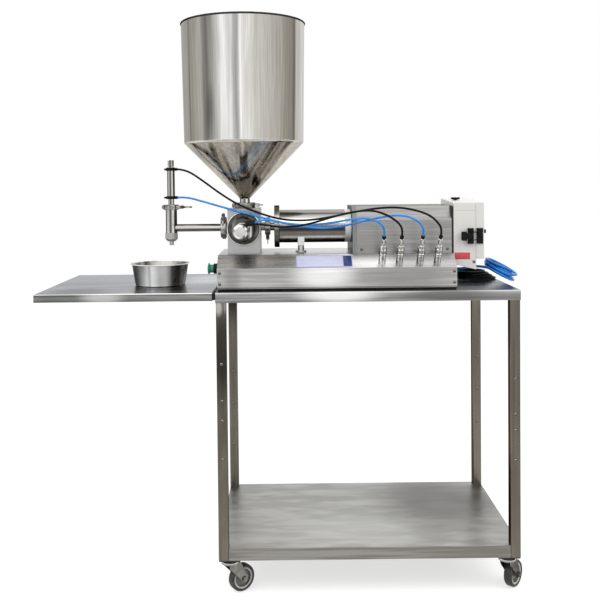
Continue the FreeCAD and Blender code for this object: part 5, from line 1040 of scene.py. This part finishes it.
def make_air_tubes():
    for name, (start, coupler, length, material) in AIR_TUBES.items():
        x = COUPLER_X[coupler]
        top = coupler_point(x, 96.0)
        end = [(x - 10.5, top.y - 19.6, top.z + 35.1), tuple(top + SLOPE_UP * 22.5), tuple(top)]
        obj = cord_curve(name + "_cord", [start] + TUBE_MIDDLES[name] + end, sizes().tube, material, [name])


def step_up(t, start, end):
    """A smooth step from 0 to 1 between two places."""
    share = max(0.0, min(1.0, (t - start) / (end - start)))
    return share * share * (3 - 2 * share)


def hose_coil_points(turns):
    """Loose turns, two side by side and three high, fanned out to the right. Each turn crosses to its
    next place before it meets its own start."""
    centre = Vector((833, 214, 878))
    tilt = math.radians(28)
    flat, up = Vector((math.cos(tilt), 0, -math.sin(tilt))), Vector((math.sin(tilt), 0, math.cos(tilt)))
    per_turn = 16
    points = []
    for i in range(int(turns * per_turn) + 1):
        t = i / per_turn
        angle = math.pi * 1.18 + 2 * math.pi * t
        inner = step_up(t, 0.76, 0.96) - step_up(t, 2.36, 2.56) + step_up(t, 3.96, 4.16)
        layer = step_up(t, 1.56, 1.76) + step_up(t, 3.16, 3.36)
        radius = 49.5 - 9.6 * inner + 0.8 * math.sin(2.1 * t)
        fan = 1 + 0.1 * (1 + math.cos(angle)) / 2
        roll, side = math.radians(7.5 - 4.5 * inner), radius * math.sin(angle)
        place = centre + flat * (radius * math.cos(angle)) + Vector((0, side * math.cos(roll), 0))
        points.append(tuple(place + up * (8.3 * layer * fan + 2 * inner + side * math.sin(roll))))
    return points


def make_supply_hose():
    start = (688.0, 212.0, 888.0)
    lead = [start, (704, 212, 888), (728, 211, 889), (752, 207, 897)]
    points = lead + hose_coil_points(sizes().hose_turns)
    obj = cord_curve("supply_hose_cord", points, sizes().hose, "blue_supply_hose", ["supply_hose", "hose_coil"])


def make_black_cable():
    """Long flat loops on the table, from the base's gland to the gland under the control box."""
    start = (688.0, 275.0, 878.0)
    points = [start, (702, 276, 878), (718, 284, 878.5), (738, 300, 878)]
    per_turn, turns = 16, 3.603
    for i in range(int(turns * per_turn) + 1):
        t = i / per_turn
        angle = math.radians(112) - 2 * math.pi * t
        left, right = 715.5 + 0.8 * math.sin(2 * t), 800 + 11 * t
        middle, reach = (left + right) / 2, (right - left) / 2
        points.append((middle + reach * math.cos(angle), 275 + 36.5 * math.sin(angle),
                       max(853.9, 877.0 - 6.9 * t)))
    points += [(735, 241, 854.2), (727, 248.5, 854.0), (719, 249.2, 855.6), (712.2, 249.6, 860.2),
               (707.6, 250, 867), (706, 250, 875), (706, 250, 884), (706, 250, 892.3)]
    obj = cord_curve("black_cable_cord", points, sizes().cable, "black_cable_sheath", ["cable_hank"])


# stage

def make_camera():
    """The camera that saw the machine from the front, a little above the table."""
    data = bpy.data.cameras.new("photo_view")
    data.lens = 49.713
    data.sensor_width = 36.0
    data.shift_x = 0.0149
    data.shift_y = -0.1556
    data.clip_end = 50.0
    camera = bpy.data.objects.new("photo_view", data)
    bpy.context.scene.collection.objects.link(camera)
    place = spot(202.87, -2264.74, 1143.69)
    yaw, pitch, roll = -0.00362, 0.02608, -0.00988
    turn = (Matrix.Rotation(yaw, 4, "Z") @ Matrix.Rotation(math.pi / 2 - pitch, 4, "X")
            @ Matrix.Rotation(roll, 4, "Z"))
    camera.matrix_world = Matrix.Translation(place) @ turn
    bpy.context.scene.camera = camera


# what a polished upright wall mirrors, by the way round the room: straight ahead is 0.5, and the two ends
# are behind the machine
ROOM = ((0.0, "#cfcecf"), (0.10, "#b9b9b7"), (0.166, "#9c9c97"), (0.172, "#6b6965"), (0.182, "#999791"),
        (0.202, "#989690"), (0.271, "#a9a8a2"), (0.288, "#82817d"), (0.311, "#777573"), (0.329, "#8b8a87"),
        (0.347, "#a1a19f"), (0.364, "#b6b6b4"), (0.381, "#cbcbcc"), (0.397, "#f4f4f6"), (0.429, "#dedee1"),
        (0.445, "#e3e4e6"), (0.461, "#b0b0b3"), (0.477, "#9fa0a2"), (0.484, "#c5c6c8"), (0.492, "#ffffff"),
        (0.508, "#d9dadc"), (0.523, "#e3e4e3"), (0.57, "#cac9c5"), (0.636, "#b9b6b2"), (0.709, "#aaa7a0"),
        (0.75, "#928f86"), (0.798, "#868380"), (0.815, "#5a5650"), (0.826, "#c0bdb9"), (0.858, "#c9c8c4"),
        (0.90, "#eceae8"), (1.0, "#f0f0f0"))


def make_world():
    """Even light for the surfaces. Glossy rays see a room with bright and dark strips, and the camera
    sees white."""
    studio = bpy.context.scene.dosing_studio
    world = bpy.data.worlds.new("studio_world")
    bpy.context.scene.world = world
    world.use_nodes = True
    tree = world.node_tree
    tree.nodes.clear()
    way = node(tree, "ShaderNodeTexCoord")
    parts = node(tree, "ShaderNodeSeparateXYZ", {0: way.outputs["Generated"]})
    front = node(tree, "ShaderNodeMath", {0: parts.outputs[1], 1: -1.0}, operation="MULTIPLY")
    angle = node(tree, "ShaderNodeMath", {0: parts.outputs[0], 1: front.outputs[0]}, operation="ARCTAN2")
    room = colour_ramp(tree, spread(tree, angle.outputs[0], -math.pi, math.pi), ROOM)
    ceiling = blend_colours(tree, spread(tree, parts.outputs[2], 0.22, 0.40), room, linear("#f4f3f0") + (1.0,))
    rays = node(tree, "ShaderNodeLightPath")
    lit = node(tree, "ShaderNodeBackground", {"Color": (1.0, 1.0, 1.0, 1.0), "Strength": studio.ambient})
    mirror = node(tree, "ShaderNodeBackground", {"Color": ceiling, "Strength": studio.room})
    white = node(tree, "ShaderNodeBackground", {"Color": (1.0, 1.0, 1.0, 1.0), "Strength": 1.0})
    glossy = node(tree, "ShaderNodeMixShader", {0: rays.outputs["Is Glossy Ray"], 1: lit.outputs[0],
                                                2: mirror.outputs[0]})
    seen = node(tree, "ShaderNodeMath", {0: rays.outputs["Is Camera Ray"],
                                         1: rays.outputs["Is Transmission Ray"]}, operation="MAXIMUM")
    shown = node(tree, "ShaderNodeMixShader", {0: seen.outputs[0], 1: glossy.outputs[0], 2: white.outputs[0]})
    node(tree, "ShaderNodeOutputWorld", {"Surface": shown.outputs[0]})


def make_floor():
    """A pale floor that keeps the shadow. In mirrors it has a darker strip some metres in front."""
    studio = bpy.context.scene.dosing_studio
    mesh = bpy.data.meshes.new("studio_floor")
    size, low = 14.0, -0.0006
    mesh.from_pydata([(-size, -size, low), (size, -size, low), (size, size, low), (-size, size, low)], [],
                     [(0, 1, 2, 3)])
    floor = bpy.data.objects.new("studio_floor", mesh)
    bpy.context.scene.collection.objects.link(floor)
    made = bpy.data.materials.new("pale_studio_floor")
    made.use_nodes = True
    tree = made.node_tree
    tree.nodes.clear()
    matt = node(tree, "ShaderNodeBsdfDiffuse", {"Color": tuple(studio.floor) + (1.0,)})
    glow = node(tree, "ShaderNodeEmission", {"Color": (1.0, 1.0, 1.0, 1.0), "Strength": studio.glow})
    bright = node(tree, "ShaderNodeAddShader", {0: matt.outputs[0], 1: glow.outputs[0]})
    where = node(tree, "ShaderNodeTexCoord")
    parts = node(tree, "ShaderNodeSeparateXYZ", {0: where.outputs["Object"]})
    strip = colour_ramp(tree, spread(tree, parts.outputs[1], -7.0, 0.0),
                        ((0.0, "#f2f2f2"), (0.22, "#e6e6e5"), (0.36, "#a5a4a2"), (0.5, "#8b8987"),
                         (0.7, "#a3a19e"), (0.85, "#c9c7c3"), (1.0, "#d9d8d6")))
    mirrored = node(tree, "ShaderNodeEmission", {"Color": strip, "Strength": studio.room})
    rays = node(tree, "ShaderNodeLightPath")
    plain = node(tree, "ShaderNodeMixShader", {0: rays.outputs["Is Camera Ray"], 1: matt.outputs[0],
                                               2: bright.outputs[0]})
    shown = node(tree, "ShaderNodeMixShader", {0: rays.outputs["Is Glossy Ray"], 1: plain.outputs[0],
                                               2: mirrored.outputs[0]})
    node(tree, "ShaderNodeOutputMaterial", {"Surface": shown.outputs[0]})
    mesh.materials.append(made)


def make_lamps():
    """A large lamp above on the left and a smaller one on the right. Polished steel doesn't mirror them."""
    studio = bpy.context.scene.dosing_studio
    for name, place, aim, size, power in (
            ("key_lamp", (-1300, -1700, 2900), (200, 250, 800), 2.2, studio.key),
            ("side_lamp", (2200, -900, 2100), (300, 250, 800), 1.8, studio.key * 0.45)):
        data = bpy.data.lights.new(name, "AREA")
        data.energy = power
        data.size = size
        lamp = bpy.data.objects.new(name, data)
        lamp.visible_glossy = False
        bpy.context.scene.collection.objects.link(lamp)
        lamp.location = spot(*place)
        lamp.rotation_euler = (spot(*aim) - spot(*place)).to_track_quat("-Z", "Y").to_euler()


class DOSING_OT_studio(bpy.types.Operator):
    """Camera, even light, two lamps and the pale floor"""
    bl_idname = "dosing.studio"
    bl_label = "Studio"

    def execute(self, context):
        make_camera()
        make_world()
        make_floor()
        make_lamps()
        context.scene.view_settings.view_transform = "Standard"
        return {"FINISHED"}


class DOSING_OT_finishes(bpy.types.Operator):
    """Makes every finish and gives each carried-over piece its own"""
    bl_idname = "dosing.finishes"
    bl_label = "Finishes"

    def execute(self, context):
        make_sheets()
        make_turned_steel()
        make_other_finishes()
        for material, names in NODE_FINISHES.items():
            for name in names:
                paint(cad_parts[name], material)
        bare = [name for name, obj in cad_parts.items() if not obj.data.materials]
        if bare:
            raise RuntimeError("no finish for " + ", ".join(bare))
        dress_nodes()
        return {"FINISHED"}


class DOSING_OT_hopper(bpy.types.Operator):
    """The mirror-polished hopper with its rolled rim, neck and weld"""
    bl_idname = "dosing.hopper"
    bl_label = "Hopper"

    def execute(self, context):
        make_hopper()
        return {"FINISHED"}


class DOSING_OT_bowl(bpy.types.Operator):
    """The pressed drip bowl with its rolled rim"""
    bl_idname = "dosing.bowl"
    bl_label = "Drip Bowl"

    def execute(self, context):
        make_bowl()
        return {"FINISHED"}


class DOSING_OT_valve(bpy.types.Operator):
    """The turned valve cover and the air cylinder before it"""
    bl_idname = "dosing.valve"
    bl_label = "Valve Front"

    def execute(self, context):
        make_valve_front()
        return {"FINISHED"}


class DOSING_OT_plates(bpy.types.Operator):
    """The bare badge and label, the control box's seams and seal, and the dark strips of painted shade in the gaps
    """
    bl_idname = "dosing.plates"
    bl_label = "Plates and Seals"

    def execute(self, context):
        make_badge()
        make_box_details()
        make_gap_shade_strips()
        return {"FINISHED"}


class DOSING_OT_screws(bpy.types.Operator):
    """Dome screws with hexagon sockets, and the knurls of the coupler sleeves"""
    bl_idname = "dosing.screws"
    bl_label = "Screws and Knurls"

    def execute(self, context):
        make_screws()
        make_knurls()
        return {"FINISHED"}


class DOSING_OT_cords(bpy.types.Operator):
    """The air tubes, the coiled supply hose and the black cable"""
    bl_idname = "dosing.cords"
    bl_label = "Cords"

    def execute(self, context):
        make_air_tubes()
        make_supply_hose()
        make_black_cable()
        return {"FINISHED"}


STEPS = (DOSING_OT_studio, DOSING_OT_finishes, DOSING_OT_hopper, DOSING_OT_bowl, DOSING_OT_valve,
         DOSING_OT_plates, DOSING_OT_screws, DOSING_OT_cords)


class DOSING_PT_panel(bpy.types.Panel):
    bl_label = "Dosing Machine"
    bl_idname = "DOSING_PT_panel"
    bl_space_type = "VIEW_3D"
    bl_region_type = "UI"
    bl_category = "Dosing Machine"

    def draw(self, context):
        for step in STEPS:
            self.layout.operator(step.bl_idname)
        for group in (context.scene.dosing_colours, context.scene.dosing_sizes, context.scene.dosing_studio):
            box = self.layout.box()
            for name in group.__annotations__:
                box.prop(group, name)


CLASSES = (DOSING_PG_colours, DOSING_PG_sizes, DOSING_PG_studio) + STEPS + (DOSING_PT_panel,)


def register():
    for cls in CLASSES:
        bpy.utils.register_class(cls)
    bpy.types.Scene.dosing_colours = PointerProperty(type=DOSING_PG_colours)
    bpy.types.Scene.dosing_sizes = PointerProperty(type=DOSING_PG_sizes)
    bpy.types.Scene.dosing_studio = PointerProperty(type=DOSING_PG_studio)


def unregister():
    del bpy.types.Scene.dosing_studio
    del bpy.types.Scene.dosing_sizes
    del bpy.types.Scene.dosing_colours
    for cls in reversed(CLASSES):
        bpy.utils.unregister_class(cls)


def main():
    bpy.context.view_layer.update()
    register()
    for step in STEPS:
        group, name = step.bl_idname.split(".")
        getattr(getattr(bpy.ops, group), name)()


if __name__ == "__main__":
    main()
